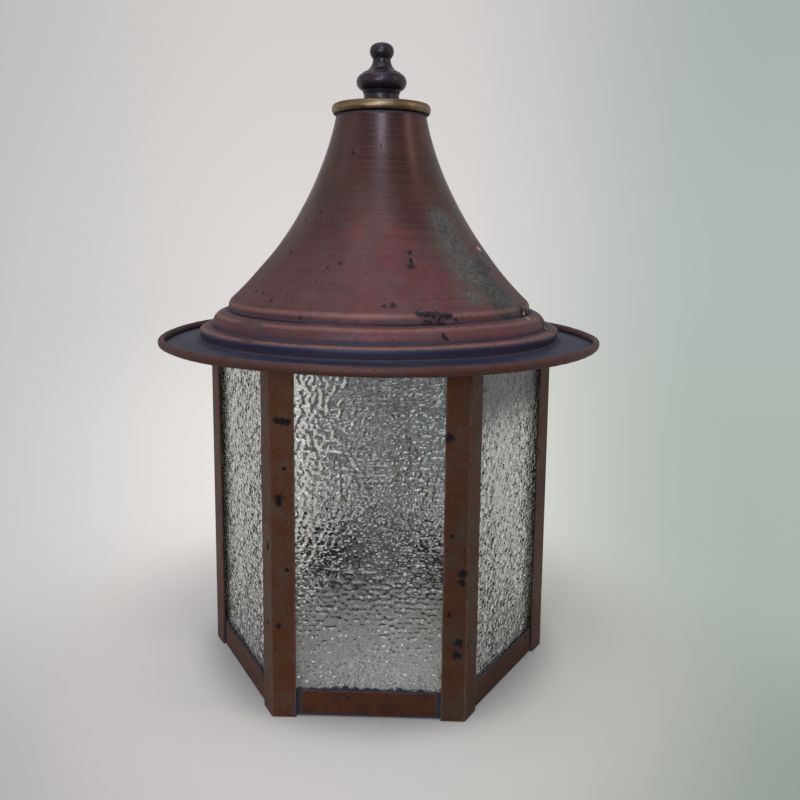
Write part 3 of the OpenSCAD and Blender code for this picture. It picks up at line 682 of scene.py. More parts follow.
def aged_copper(name, tones, scale, rough, metal=0.45, spun=False, pits=0.05, dust=0.2, dents=()):
    """Copper with a mottled patina, dirt, verdigris, rubbed places and painted highlights where the mesh
    marks them, and painted shade in marked creases and towards one side.
    """
    c = bpy.context.scene.lantern_colours
    tree, shader, at = new_material(name)
    broad = mottled(tree, at, scale, 0.2, *tones)
    fine = mottled(tree, at, scale * 14, 0.24, (0.9, 0.9, 0.9), (1.08, 1.05, 1.06), (0.96, 0.98, 1.0))
    paint = broad["Colour"]
    height = fine["Mask"]
    roughness = blended(tree, broad["Mask"], rough - 0.04, rough + 0.05)
    if spun:
        paint, roughness, height = spun_patina(tree, at, scale, paint, roughness, height)
    else:
        # Painted shade: every piece but the roof gets darker towards the right.
        paint = shaded(tree, paint, stepped(tree, axis(tree, at, 0), -0.04, 0.06, 1.0, 0.8))
    paint = mixed(tree, 1.0, paint, fine["Colour"], "MULTIPLY")
    scratches = scratched(tree, at, 70.0, 0.05 if spun else 0.1)
    paint = mixed(tree, scratches, paint, mixed(tree, 0.5, tones[1], c.copper))
    # Rubbed places, which on the roof's bead crowns and rim and on the posts' folds and edges are also
    # painted highlights.
    wear = ragged(tree, at, "wear", 260.0, 1.0, 0.7, 0.45)
    paint = mixed(tree, times(tree, wear, 0.3), paint, mixed(tree, 0.55, tones[0], c.copper))
    green = ragged(tree, at, "verdigris", 110.0, 1.7, 0.62, 0.42)
    speckle = stepped(tree, noise(tree, at, 420.0, 5.0, 0.75), 0.4, 0.6)
    crust = mixed(tree, speckle, scaled(c.verdigris, 0.2), c.verdigris)
    paint = mixed(tree, times(tree, green, 0.6), paint, crust)
    # Painted shade with some dark film: the marked creases, hollows, undersides, inner faces and ledges are
    # darkened.
    crease = ragged(tree, at, "grime", 210.0, 1.5, 0.5, 0.34)
    paint = mixed(tree, times(tree, crease, 0.85), paint, c.crease)
    dots = most(tree, pitted(tree, at, 150.0, pits, 0.2), pitted(tree, at, 520.0, pits * 1.4, 0.34))
    hole = times(tree, dots, 0.75)
    if dents:
        hole = most(tree, hole, ragged(tree, at, nearest(tree, at, dents), 520.0, 2.3, 0.46, 0.2))
    paint = mixed(tree, hole, paint, c.soot)
    paint = mixed(tree, ragged(tree, at, "flake", 380.0, 1.5, 0.62, 0.08), paint, c.copper)
    film = dusted(tree, at, dust)
    paint = mixed(tree, times(tree, film, 0.3), paint, (0.30, 0.28, 0.28))
    roughness = plus(tree, roughness, times(tree, film, 0.2))
    dull = most(tree, times(tree, green, 0.8), most(tree, crease, hole))
    relief = plus(tree, height, times(tree, less(tree, green, hole), 1.6))
    wire(tree, shader, {"Base Color": paint, "Roughness": blended(tree, dull, roughness, 0.8),
                        "Metallic": times(tree, metal, less(tree, 1.0, times(tree, dull, 0.85))),
                        "Specular IOR Level": 0.32 if spun else 0.12, "Normal": bumped(tree, relief, 0.06)})


def plain_metal(name, tone, dark, rough, metal=1.0, coat=0.0, tarnish=0.5):
    """Brass, bronze or steel with tarnish, scratches, dark specks and painted shade in its hollows."""
    c = bpy.context.scene.lantern_colours
    tree, shader, at = new_material(name)
    tones = mottled(tree, at, 75.0, 0.2, tone, dark, [(a + b) / 2 for a, b in zip(tone, dark)])
    paint = mixed(tree, tarnish, tone, tones["Colour"])
    scratches = scratched(tree, at, 130.0, 0.45)
    specks = pitted(tree, at, 700.0, 0.1, 0.35)
    # Painted shade at the ring's foot and in the finial's hollows, where the mesh marks them.
    dirt = ragged(tree, at, "grime", 500.0, 0.8, 0.5, 0.25)
    wear = ragged(tree, at, "wear", 300.0, 0.9, 0.6, 0.3)
    paint = mixed(tree, times(tree, wear, 0.6), paint, [min(1, v * 1.7 + 0.02) for v in tone])
    soiled = most(tree, times(tree, specks, 0.6), dirt)
    paint = mixed(tree, times(tree, soiled, 0.97), paint, c.soot)
    roughness = plus(tree, blended(tree, tones["Mask"], rough, rough + 0.12),
                     times(tree, most(tree, scratches, soiled), 0.3))
    relief = less(tree, tones["Mask"], plus(tree, scratches, soiled))
    wire(tree, shader, {"Base Color": paint, "Roughness": roughness, "Metallic": metal, "Coat Weight": coat,
                        "Coat Roughness": 0.12, "Normal": bumped(tree, relief, 0.04)})


def flaked_plate(name, tone, rough):
    """Tinned sheet: pale inside, with the tin flaked off to black along its foot, and weathered outside."""
    c = bpy.context.scene.lantern_colours
    tree, shader, at = new_material(name)
    tones = mottled(tree, at, 60.0, 0.2, tone, scaled(tone, 0.75), scaled(tone, 0.9))
    height = axis(tree, at, 2)
    inside = stepped(tree, axis(tree, put(tree, "NewGeometry").outputs["Normal"], 1), -0.6, -0.4, 1.0, 0.0)
    side = stepped(tree, axis(tree, at, 0), -0.045, -0.005, 0.0, 0.04)
    reach = plus(tree, side, stepped(tree, height, 0.030, 0.045, 0.06, 0.0))
    reach = plus(tree, reach, stepped(tree, height, 0.078, 0.098, 0.0, -0.5))
    bare = stepped(tree, plus(tree, noise(tree, at, 27.0, 2.0), reach), 0.472, 0.492)
    limed = times(tree, inside, stepped(tree, height, 0.075, 0.105, 1.0, 0.0))
    worn = most(tree, scratched(tree, at, 90.0, 0.4), pitted(tree, at, 500.0, 0.12, 0.35))
    weather = mottled(tree, at, 24.0, 0.18, (0.085, 0.075, 0.066), (0.050, 0.036, 0.028),
                      (0.125, 0.120, 0.112))
    drips = noise(tree, put(tree, "Mapping", {"Vector": at, "Scale": (90, 90, 9)}), 5.0, 5.0)
    weather = shaded(tree, weather["Colour"], stepped(tree, drips, 0.3, 0.7, 0.72, 1.2))
    paint = mixed(tree, inside, weather, tones["Colour"])
    paint = mixed(tree, limed, paint, (0.9, 0.9, 0.92))
    paint = mixed(tree, times(tree, bare, inside), paint, c.soot)
    paint = mixed(tree, times(tree, worn, 0.6), paint, c.soot)
    wire(tree, shader, {"Base Color": paint, "Roughness": blended(tree, tones["Mask"], rough, rough + 0.15),
                        "Metallic": 0.1, "Specular IOR Level": 0.3,
                        "Normal": bumped(tree, less(tree, tones["Mask"], bare), 0.08)})


def plain_stuff(name, tone, rough, scale=120.0, spread=0.18, dust=0.4):
    """Porcelain, rubber, dirt and the like."""
    tree, shader, at = new_material(name)
    tones = mottled(tree, at, scale, spread, tone, scaled(tone, 0.72), scaled(tone, 1.15))
    paint = mixed(tree, times(tree, dusted(tree, at, dust), 0.4), tones["Colour"], (0.3, 0.28, 0.26))
    roughness = blended(tree, tones["Mask"], rough, min(1, rough + 0.1))
    wire(tree, shader, {"Base Color": paint, "Roughness": roughness,
                        "Normal": bumped(tree, tones["Mask"], 0.08)})


def clear_glass(name, tint, rough, bump=0.0, dirt=0.0):
    """Glass that lets the lamps' light through, with dirt where the mesh marks it."""
    tree, shader, at = new_material(name)
    cloud = stepped(tree, noise(tree, at, 90.0, 6.0, 0.65), 0.35, 0.75)
    paint = mixed(tree, cloud, tint, scaled(tint, 0.93))
    if dirt:
        soil = ragged(tree, at, "grime", 600.0, 1.2, 0.6, 0.18)
        paint = mixed(tree, times(tree, soil, dirt), paint, (0.05, 0.05, 0.06))
        rough = blended(tree, soil, rough, 0.3)
    wire(tree, shader, {"Base Color": paint, "Roughness": rough, "Transmission Weight": 1.0, "IOR": 1.5})
    if bump:
        wire(tree, shader, {"Normal": bumped(tree, noise(tree, at, 800.0, 1.0), bump)})
    through = put(tree, "BsdfTransparent", {0: [min(1, 0.05 + v) for v in tint]})
    mix_in(tree, put(tree, "LightPath").outputs["Is Shadow Ray"], through)


def build_materials():
    """Makes every finish, by the name of its slot in the record."""
    build_groups()
    c = bpy.context.scene.lantern_colours
    steel, dark_steel = (0.5, 0.48, 0.45), (0.22, 0.2, 0.18)
    aged_copper("roof_copper", (c.mauve, c.mauve, c.red), 12.0, 0.56, 0.4, True, 0.04, dents=roof_dents())
    aged_copper("post_copper", (c.post, c.post, c.olive), 22.0, 0.48, pits=0.07, dents=post_dents())
    aged_copper("rail_copper", (c.post, c.post, c.umber), 26.0, 0.48, pits=0.09)
    aged_copper("rim_copper", (c.brown, c.post, c.umber), 30.0, 0.45)
    aged_copper("clip_copper", (c.umber, c.post, c.olive), 60.0, 0.5)
    aged_copper("rivet_copper", (c.post, c.brown, c.umber), 60.0, 0.4)
    aged_copper("crown_copper", (c.umber, c.brown, c.olive), 40.0, 0.5, dust=0.8)
    plain_metal("aged_brass", c.brass, (0.12, 0.075, 0.045), 0.34)
    plain_metal("holder_brass", (0.26, 0.25, 0.24), (0.012, 0.011, 0.012), 0.35, 0.5, tarnish=1.0)
    plain_metal("dark_bronze", c.bronze, (0.010, 0.005, 0.012), 0.36, 0.5, 0.15)
    plain_metal("cap_steel", steel, dark_steel, 0.35)
    plain_metal("filament_steel", dark_steel, (0.08, 0.08, 0.09), 0.4)
    flaked_plate("plate_tinned", c.tin, 0.5)
    plain_stuff("porcelain", c.porcelain, 0.25)
    plain_stuff("washer_rubber", (0.03, 0.025, 0.025), 0.7)
    clear_glass("hammered_glass", c.glass, 0.008, 0.12, 0.85)
    clear_glass("lamp_glass", (0.97, 0.97, 0.96), 0.0)
    plain_stuff("grime", (0.013, 0.011, 0.016), 0.9, 600.0, 0.25, dust=0.1)


def finish_of(slot):
    """The finish for a slot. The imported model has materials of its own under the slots' names."""
    return bpy.data.materials["finish_" + slot]


def dress_nodes(slots):
    """Gives CAD nodes their finish, with their own smooth shading kept."""
    for node in frame["record"]["subparts"]:
        if node["material_slot"] in slots:
            piece = frame["nodes"][node["node"]]
            piece.data.materials.clear()
            piece.data.materials.append(finish_of(node["material_slot"]))


# Roof

def bell_sides(size, p):
    """Outer and inner line of the bell's sheet, from the neck down to its foot."""
    a = (size.crown_radius, p.crown_z)
    s = size.foot_slope
    d = (p.foot_r - size.foot_round * (1 - math.cos(s)), p.foot_z + size.foot_round * math.sin(s))
    b = (a[0] + size.neck_pull * math.sin(size.neck_slope), a[1] - size.neck_pull * math.cos(size.neck_slope))
    c = (d[0] - size.foot_pull * math.sin(s), d[1] + size.foot_pull * math.cos(s))
    sides = []
    for inset in (0.0, size.roof_sheet):
        line = [(size.crown_radius - inset, p.neck_top)]
        for t in np.linspace(0, 1, 90):
            at, way = bezier(a, b, c, d, t)
            line.append(tuple(at - inset * np.array([-way[1], way[0]])))
        turn = size.foot_round - inset
        line += arc(p.foot_r - size.foot_round, p.foot_z, turn, turn, math.degrees(s), 0, 9)
        line.append((p.foot_r - inset, p.bead_top))
        sides.append(line)
    return sides


def brim_sides(size, p):
    """Outer and inner line of the brim's sheet, from its collar out to the end of the curl."""
    sides = []
    for inset in (0.0, size.roof_sheet):
        bead, corner, wall = size.bead_round - inset, size.step_round - inset, p.tuck_r - inset
        collar = p.collar_r - inset
        line = [(collar, p.bead_top + size.collar_height), (collar, p.bead_top - inset)]
        line += arc(p.bead_x, p.bead_z, bead, bead, 90, 0, 18)
        line.append((p.bead_mid - inset, p.step_z - inset))
        line += arc(p.bead_out - size.step_round, p.step_z - size.step_round, corner, corner, 90, 0, 10)
        line += arc(p.bead_out - p.tuck_r, p.step_z - size.step_round, wall, wall, -4, -p.tuck_turn, 6)
        line += arc(p.floor_x, p.brim_z, inset, inset, 180, 260, 4) if inset else [(p.floor_x, p.brim_z)]
        curl = size.roof_sheet - inset
        line += arc(p.roll_x, p.roll_z, size.rim_width / 2 - curl, size.rim_roll / 2 - curl, -90, 200, 30)
        sides.append(line)
    return sides


# Places on the roof: angle in degrees, then height, reach and depth in millimetres
DINGS = [(-115.3, 351.0, 3.2, 0.5), (-72.9, 280.2, 4.4, 0.7), (-72.4, 283.4, 3.2, 0.4),
         (-72.2, 287.8, 3.0, 0.4), (-82.4, 258.4, 3.4, 0.6), (-85.4, 258.0, 2.6, 0.3),
         *((a, 253.9 - 0.2 * (a + 74), 4.2, 0.3) for a in np.arange(-74, -63, 1.2)),
         *((a, 248.4, 3.2, 0.4) for a in np.arange(-72, -65, 1.0)), (-60.8, 249.2, 2.4, 0.2),
         (-67.9, 241.2, 3.6, 0.5), (-67.2, 239.8, 3.0, 0.3), (-130.5, 258.3, 3.0, 0.4),
         (-138.5, 261.6, 2.8, 0.4), (-139.4, 286.3, 2.8, 0.4), (-111.1, 278.2, 2.8, 0.3),
         (-105.1, 281.4, 3.0, 0.3), (-129.8, 311.9, 2.0, 0.2), (-143.4, 261.6, 2.8, 0.3),
         (-113.9, 249.6, 2.2, 0.2), (-24.0, 251.0, 6.0, 0.3), (-19.5, 248.5, 6.0, 0.4),
         (-14.0, 240.5, 5.5, 0.4), (-10.0, 238.5, 5.0, 0.3), (35.0, 262.0, 5.0, 0.9),
         (100.0, 300.0, 3.0, 0.4), (152.0, 256.0, 5.0, 0.8)]
HOLLOWS = [(-22.0, 290.8, 3.0, 0.8), (-10.0, 246.0, 6.0, 1.1), (-17.0, 237.5, 6.5, 1.0),
           (-27.0, 249.0, 5.0, 0.7)]

# Coloured places on the roof: angle in degrees, then height and reach in millimetres
STAINS = {
    "verdigris": [(-44, 306, 15), (-44, 291, 20), (-42, 277, 24), (-35, 263, 26), (-22, 284, 12),
                  (-27, 252, 17), (-50, 262, 10), (38, 300, 16), (75, 262, 20), (118, 318, 12),
                  (165, 272, 22), (-168, 252, 16), (-5, 240, 12)],
    "blush": [(-76, 296, 17), (-82, 285, 12), (-70, 275, 12), (-100, 300, 10), (-66, 262, 14),
              (-84, 236, 12), (60, 280, 20), (140, 250, 18)],
    "flake": [(-21.5, 247.6, 4.5), (-26, 246.5, 3), (-9, 238.5, 5), (-12, 236, 6), (-5, 240, 4),
              (-19.5, 289.5, 3), (33, 261, 4), (150, 255, 4), (-16, 245, 3)],
    "murk": [(-34, 266, 19), (-38, 256, 15), (-31, 278, 12), (-43, 291, 9), (-46, 301, 6), (-8, 242, 13),
             (-1, 238, 13), (6, 240, 10), (-20, 252, 8), (150, 262, 12), (74, 270, 10)],
}

# Radii at which the bell starts to swell and the brim starts to waver, and over how much they come up to it
BELL_SWELLS = (32 * MM, 40 * MM)
BRIM_WAVERS = (122 * MM, 20 * MM)


def spot(line, degrees, height):
    """Point of a turned line at an angle and a height in millimetres."""
    line = sorted((z, r) for r, z in line)
    r = np.interp(height * MM, [z for z, _ in line], [r for _, r in line])
    return r * cosd(degrees), r * sind(degrees), height * MM


def roof_line(size, p):
    """Outer line of the whole roof, from the neck to the brim's floor."""
    return bell_sides(size, p)[0] + brim_sides(size, p)[0][1:ROOF_TURNS]


def roof_dents():
    """Points and reaches of the dark marks on the roof."""
    size = bpy.context.scene.lantern_sizes
    line = roof_line(size, plan(size))
    return [(spot(line, angle, height), reach * MM) for angle, height, reach, _ in DINGS]


def strongest(points, line, places):
    """Strongest of several stains at each point."""
    best = np.zeros(len(points))
    for angle, height, reach in places:
        best = np.maximum(best, near(points, spot(line, angle, height), reach))
    return best


class LANTERN_OT_finishes(bpy.types.Operator):
    """Mixes the materials of every finish."""

    bl_idname = "lantern.finishes"
    bl_label = "Finishes"

    def execute(self, context):
        build_materials()
        return {"FINISHED"}


class LANTERN_OT_roof(bpy.types.Operator):
    """Spins the bell and the brim, with their dents, verdigris, dark film, painted shade in the creases and
    painted highlights on the crowns.
    """

    bl_idname = "lantern.roof"
    bl_label = "Spun roof"

    def execute(self, context):
        size = context.scene.lantern_sizes
        p = plan(size)
        line = roof_line(size, p)
        bell = (bell_sides(size, p), 1.25 * MM, 3 * MM, size.bell_segments)
        brim = (brim_sides(size, p), 0.8 * MM, 2.4 * MM, size.brim_segments)
        for name, ((outer, inner), fine, coarse, segments) in (("bell", bell), ("brim", brim)):
            outer, inner = resampled(outer, fine), resampled(inner, coarse)
            section = np.vstack([outer, inner[::-1]])
            points, row = turned(section, segments)
            radius = np.hypot(points[:, 0], points[:, 1])
            outside = (row < len(outer)).astype(float)
            swell = self.swell(points, radius, name == "brim")
            for angle, height, reach, depth in DINGS + HOLLOWS:
                swell -= depth * MM * near(points, spot(line, angle, height), reach) * outside
            points += turned_normals(section, segments) * swell[:, None]
            marks = self.marks(size, p, section[row], radius, outside)
            for label, places in STAINS.items():
                marks[label] = strongest(points, line, places) * outside
            run = np.cumsum(np.linalg.norm(np.diff(section, axis=0), axis=1))
            marks["run"] = np.concatenate([[0], run])[row]
            faces = grid_faces(len(section), segments, wrap_rows=True, wrap_cols=True)
            make_piece(f"{name}_sheet", points, faces, "roof", (f"roof_{name}",), "roof_copper", marks, 40)
        return {"FINISHED"}

    def swell(self, points, radius, is_brim):
        """How far each point stands out of the true form. The brim's edge is also bent out of true."""
        start, reach = BELL_SWELLS
        swell = (0.35 * ripple(points, 0.11, 3) + 0.16 * ripple(points, 0.035, 4)) * MM
        swell = swell * np.clip((radius - start) / reach, 0, 1)
        if is_brim:
            start, reach = BRIM_WAVERS
            edge = np.clip((radius - start) / reach, 0, 1)
            swell *= 1 - edge
            points[:, 2] += edge * 0.45 * MM * (ripple(points, 0.13, 8) - 0.2)
            points[:, :2] *= (1 - edge * 0.25 * MM / 0.15 * (1.2 + ripple(points, 0.09, 9)) / 2)[:, None]
            swell -= edge * 0.1 * MM * (0.5 + 0.5 * ripple(points, 0.012, 10))
        return swell

    def marks(self, size, p, at, radius, outside):
        """Dark film and painted shade in the creases and on the underside, rubbed crowns with painted
        highlights, the film on the brim's floor and the rim.
        """
        creases = [(p.foot_r + 0.3 * MM, p.bead_top, 2.2), (p.bead_mid + 0.2 * MM, p.step_z, 2.6),
                   (p.floor_x, p.brim_z, 3.8), (p.curl_in + 0.6 * MM, p.roll_z - 1.4 * MM, 2.0),
                   (size.crown_radius, p.crown_z + 1.6 * MM, 1.0)]
        # Crowns: rubbed copper where the light catches the beads, the bell's foot and the rolled edge, also a
        # painted highlight.
        crowns = [(p.bead_x + 0.6 * size.bead_round, p.bead_z + 0.75 * size.bead_round, 2.2),
                  (p.bead_out - 1.2 * MM, p.step_z - 0.8 * MM, 2.0),
                  (p.foot_r - 0.8 * MM, p.foot_z + 3 * MM, 2.2),
                  (p.roll_x + 0.3 * size.rim_width, p.roll_z + 0.4 * size.rim_roll, 1.4),
                  (p.roll_x + 0.2 * size.rim_width, p.roll_z - 0.45 * size.rim_roll, 1.4)]
        # Painted shade with dark film along the creases; the sheet's inner side is darkened as painted shade
        # too.
        grime = fading_from(at[:, 0], at[:, 1], creases)
        past_beads = np.clip((radius - p.bead_out + 1.5 * MM) / (2 * MM), 0, 1)
        before_rim = np.clip((p.roll_x + 0.5 * MM - radius) / (3 * MM), 0, 1)
        return {"gutter": past_beads * before_rim * outside,
                "grime": np.maximum(grime * 0.85, (1 - outside) * 0.3),
                "wear": fading_from(at[:, 0], at[:, 1], crowns) * outside,
                "rim": np.clip((radius - p.curl_in) / (1.5 * MM), 0, 1)}


class LANTERN_OT_crown(bpy.types.Operator):
    """Turns the brass crown ring and the finial, and finishes the cap and washer."""

    bl_idname = "lantern.crown"
    bl_label = "Crown and finial"

    def execute(self, context):
        size = context.scene.lantern_sizes
        p = plan(size)
        self.ring(size, p)
        self.finial(p)
        dress_nodes({"crown_copper", "washer_rubber", "rim_copper"})
        return {"FINISHED"}

    def ring(self, size, p):
        """Half-round brass ring around the neck."""
        half = size.ring_height / 2
        foot = p.crown_z + 2 * MM
        inner = size.crown_radius + 0.1 * MM
        bulge = arc(inner, foot + half, size.ring_out - 0.1 * MM, half, -84, 84, 16)
        section = resampled([(inner, foot), *bulge, (inner, foot + size.ring_height)], 1 * MM)

        def marks(points):
            """Painted shade at the ring's foot, and its rubbed bulge."""
            out = np.hypot(points[:, 0], points[:, 1]) - inner
            return {"grime": fading(points[:, 2] - foot, 1.1) * 0.9,
                    "wear": np.clip((out - 1.6 * MM) / (1 * MM), 0, 1) * 0.8}

        turned_piece("crown_ring_brass", section, RING_STEPS, "roof", ("crown_ring",), "aged_brass",
                     marks=marks, dent=0.12 * MM)

    def finial(self, p):
        """Foot, waist, disc, hollow neck and ball, with a bore for the tie rod."""
        crown_cap, washer = 1.5 * MM, 0.8 * MM
        z0 = p.neck_top + crown_cap + washer
        foot_r, disc_z, disc_r, disc_h = 12.5 * MM, 14.7 * MM, 17 * MM, 5.9 * MM
        neck_r, hollow, ball_r, ball_h = 6 * MM, 9.4 * MM, 8.1 * MM, 6.2 * MM
        disc_low, disc_top = disc_z - disc_h, disc_z + disc_h
        neck_z = disc_top + hollow
        neck_at = math.degrees(math.acos(neck_r / ball_r))
        ball_z = neck_z + 0.2 * MM + ball_h * sind(neck_at)
        crown = [(ball_r * math.cos(a) ** 0.8, ball_z + ball_h * math.sin(a) ** 0.8)
                 for a in np.radians(np.linspace(0, 89, 20))]
        waist = foot_r - 0.5 * MM
        bore, depth = 3.08 * MM, disc_top - 1 * MM
        line = [(bore, 0), *arc(foot_r, 1 * MM, 0.5 * MM, 1 * MM, -90, 90, 8), (waist, 3 * MM),
                (waist - 0.1 * MM, disc_low - 2.6 * MM), (waist + 0.5 * MM, disc_low - 1 * MM),
                *arc(disc_r - disc_h, disc_z, disc_h, disc_h, -72, 66, 24),
                *arc(neck_r + hollow, neck_z, hollow, hollow, 253, 180, 14),
                *arc(0, ball_z, ball_r, ball_h, -neck_at, -6, 8), *crown, (0.02 * MM, depth), (bore, depth)]
        section = resampled(line, 0.9 * MM) + np.array([0, z0])
        hollows = [(waist + 0.2 * MM, disc_low - 1.2 * MM, 1.3), (neck_r, neck_z, 1.6),
                   (waist, 2.6 * MM, 1.0)]

        def marks(points):
            """Painted shade in the hollows, and rubbed edges of the foot and the disc."""
            r = np.hypot(points[:, 0], points[:, 1])
            edge = fading(r - disc_r, 0.8) + fading(r - foot_r, 0.6)
            return {"grime": fading_from(r, points[:, 2] - z0, hollows) * 0.7, "wear": edge * 0.5}

        turned_piece("finial_turned", section, FINIAL_STEPS, "finial", ("finial",), "dark_bronze",
                     marks=marks, dent=0.05 * MM)


# Body

def swept(section, stations):
    """Closed section (x, y) drawn along Z, with both ends closed."""
    flat = np.tile(section, (len(stations), 1))
    points = np.column_stack([flat, np.repeat(stations, len(section))])
    return points, capped_faces(len(stations), len(section))


# Dark marks and green patches on the posts' faces: bay, then x, z and reach in millimetres
POST_MARKS = [(0, -55.0, 189.2, 4.0), (0, -52.0, 188.8, 4.2), (0, -49.0, 188.4, 3.6), (0, -54.3, 141.5, 4.6),
              (0, -54.3, 138.5, 4.0), (0, 47.4, 180.6, 5.0), (0, 56.8, 96.4, 4.8), (0, 56.5, 91.0, 4.2),
              (0, 55.0, 52.0, 5.0), (0, 54.0, 44.0, 5.2), (0, 50.0, 120.0, 2.2), (0, -50.0, 96.0, 2.6),
              (0, -55.5, 60.0, 3.2), (0, -51.0, 160.0, 2.4), (0, 49.0, 70.0, 2.6), (5, 56.0, 110.0, 4.0),
              (5, 54.0, 60.0, 2.4), (2, 52.0, 150.0, 3.0), (4, -50.0, 70.0, 3.0), (3, 51.0, 200.0, 2.6)]
POST_GREENS = [(5, 51.0, 128.0, 8), (1, -52.0, 48.0, 9), (1, -54.0, 100.0, 6), (3, -52.0, 40.0, 9),
               (2, 50.0, 190.0, 8), (4, 50.0, 30.0, 7)]


def on_posts(places):
    """Points on the posts' outer faces, with their reaches in millimetres."""
    p = plan(bpy.context.scene.lantern_sizes)
    return [(tuple(on_bay([(x * MM, -p.apothem, z * MM)], bay)[0]), reach) for bay, x, z, reach in places]


def post_dents():
    """Points and reaches of the dark marks on the posts."""
    return [(point, reach * MM) for point, reach in on_posts(POST_MARKS)]


class LANTERN_OT_posts(bpy.types.Operator):
    """Folds the six corner posts."""

    bl_idname = "lantern.posts"
    bl_label = "Folded posts"

    def execute(self, context):
        size = context.scene.lantern_sizes
        section = self.section(size)
        stations = np.concatenate([[0, 0.15 * MM], np.linspace(1 * MM, size.body_height - 1 * MM, POST_ROWS),
                                   [size.body_height - 0.15 * MM, size.body_height]])
        for name, corner in CORNERS.items():
            flat, faces = swept(section, stations)
            points = self.placed(flat, size, corner)
            make_piece(f"post_{name}_folded", points, faces, "body", (f"post_{name}",), "post_copper",
                       self.marks(points, flat, size), 38)
        return {"FINISHED"}

    def section(self, size):
        """Section of a post, with the corner of the hexagon at its origin."""
        sheet, width, fold = size.post_sheet, size.flange, size.fold_round
        centre = fold / cosd(30)
        a, b = ((width * cosd(120), side * width * sind(120)) for side in (-1, 1))

        def inwards(point, degrees):
            """The point one sheet further in."""
            return point[0] + sheet * cosd(degrees), point[1] + sheet * sind(degrees)

        outside = arc(-centre, 0, fold, fold, -30, 30, 7)
        inside = arc(-centre, 0, fold - sheet, fold - sheet, 30, -30, 4)
        return sheet_section([a, *outside, b, inwards(b, 210), *inside, inwards(a, 150)], POST_EASE)

    def placed(self, flat, size, corner):
        """The post turned to its corner, with a slight sway and unevenly trimmed edges."""
        c, s = cosd(60 * corner - 60), sind(60 * corner - 60)
        x, y, z = flat[:, 0] + size.side, flat[:, 1], flat[:, 2]
        out = np.stack([x * c - y * s, x * s + y * c, z], 1)
        free = np.abs(y) / (size.flange * 0.87)
        sway = 0.14 * MM * ripple(out, 0.05, 20 + corner) + 0.05 * MM * ripple(out, 0.011, 40 + corner)
        out[:, :2] *= (1 - np.clip(free, 0, 1) * (0.15 * MM + sway) / size.side)[:, None]
        trim = np.clip(free - 0.9, 0, 1) * 1.5 * MM * (0.5 + 0.5 * ripple(out, 0.02, 60 + corner))
        along = np.sign(y) * trim
        out[:, 0] += along * s
        out[:, 1] -= along * c
        return out

    def marks(self, points, flat, size):
        """Rubbed edges and fold, partly painted highlights, dirt beside the glass and green patches."""
        x, y = flat[:, 0], flat[:, 1]
        edge = np.hypot(x + size.flange * 0.5, np.abs(y) - size.flange * sind(120))
        fold = np.hypot(x + 0.4 * MM, y)
        ends = np.minimum(points[:, 2], size.body_height - points[:, 2])
        # The rubbed flange edges and fold are partly painted highlights.
        wear = fading(edge, 0.7) * 0.9 + fading(fold, 1.0) * 0.75
        green = np.zeros(len(points))
        for point, reach in on_posts(POST_GREENS):
            green = np.maximum(green, near(points, point, reach) * 0.9)
        return {"wear": np.maximum(wear, fading(ends, 0.8) * 0.8),
                "grime": fading(edge, 1.6) * 0.45 + fading(points[:, 2], 7) * 0.25, "verdigris": green}


def bar_along_bay(half, foot, top, outer, inner, step, seed, bay, sway, mitred=False):
    """A wavy strip of sheet along a bay: its points, its faces, and its points in the front bay."""
    section = sheet_section([(-outer, foot), (-outer, top), (-inner, top), (-inner, foot)], RAIL_EASE)
    count = max(4, round(2 * half / step))
    xs = np.concatenate([[-half, -half + 0.15 * MM], np.linspace(-half + 1 * MM, half - 1 * MM, count),
                         [half - 0.15 * MM, half]])
    points = np.column_stack([np.repeat(xs, len(section)), np.tile(section, (len(xs), 1))])
    if mitred:
        points[:, 0] *= 1 - (-points[:, 1] - inner) / half * -math.tan(math.radians(30))
    points[:, 1] += sway * ripple(points, 0.045, seed)
    rise = np.clip((points[:, 2] - foot) / (top - foot), 0, 1)
    points[:, 2] += (rise - 0.5) * 2 * sway * (ripple(points, 0.03, seed + 1) - 0.6)
    return on_bay(points, bay), capped_faces(len(xs), len(section)), points


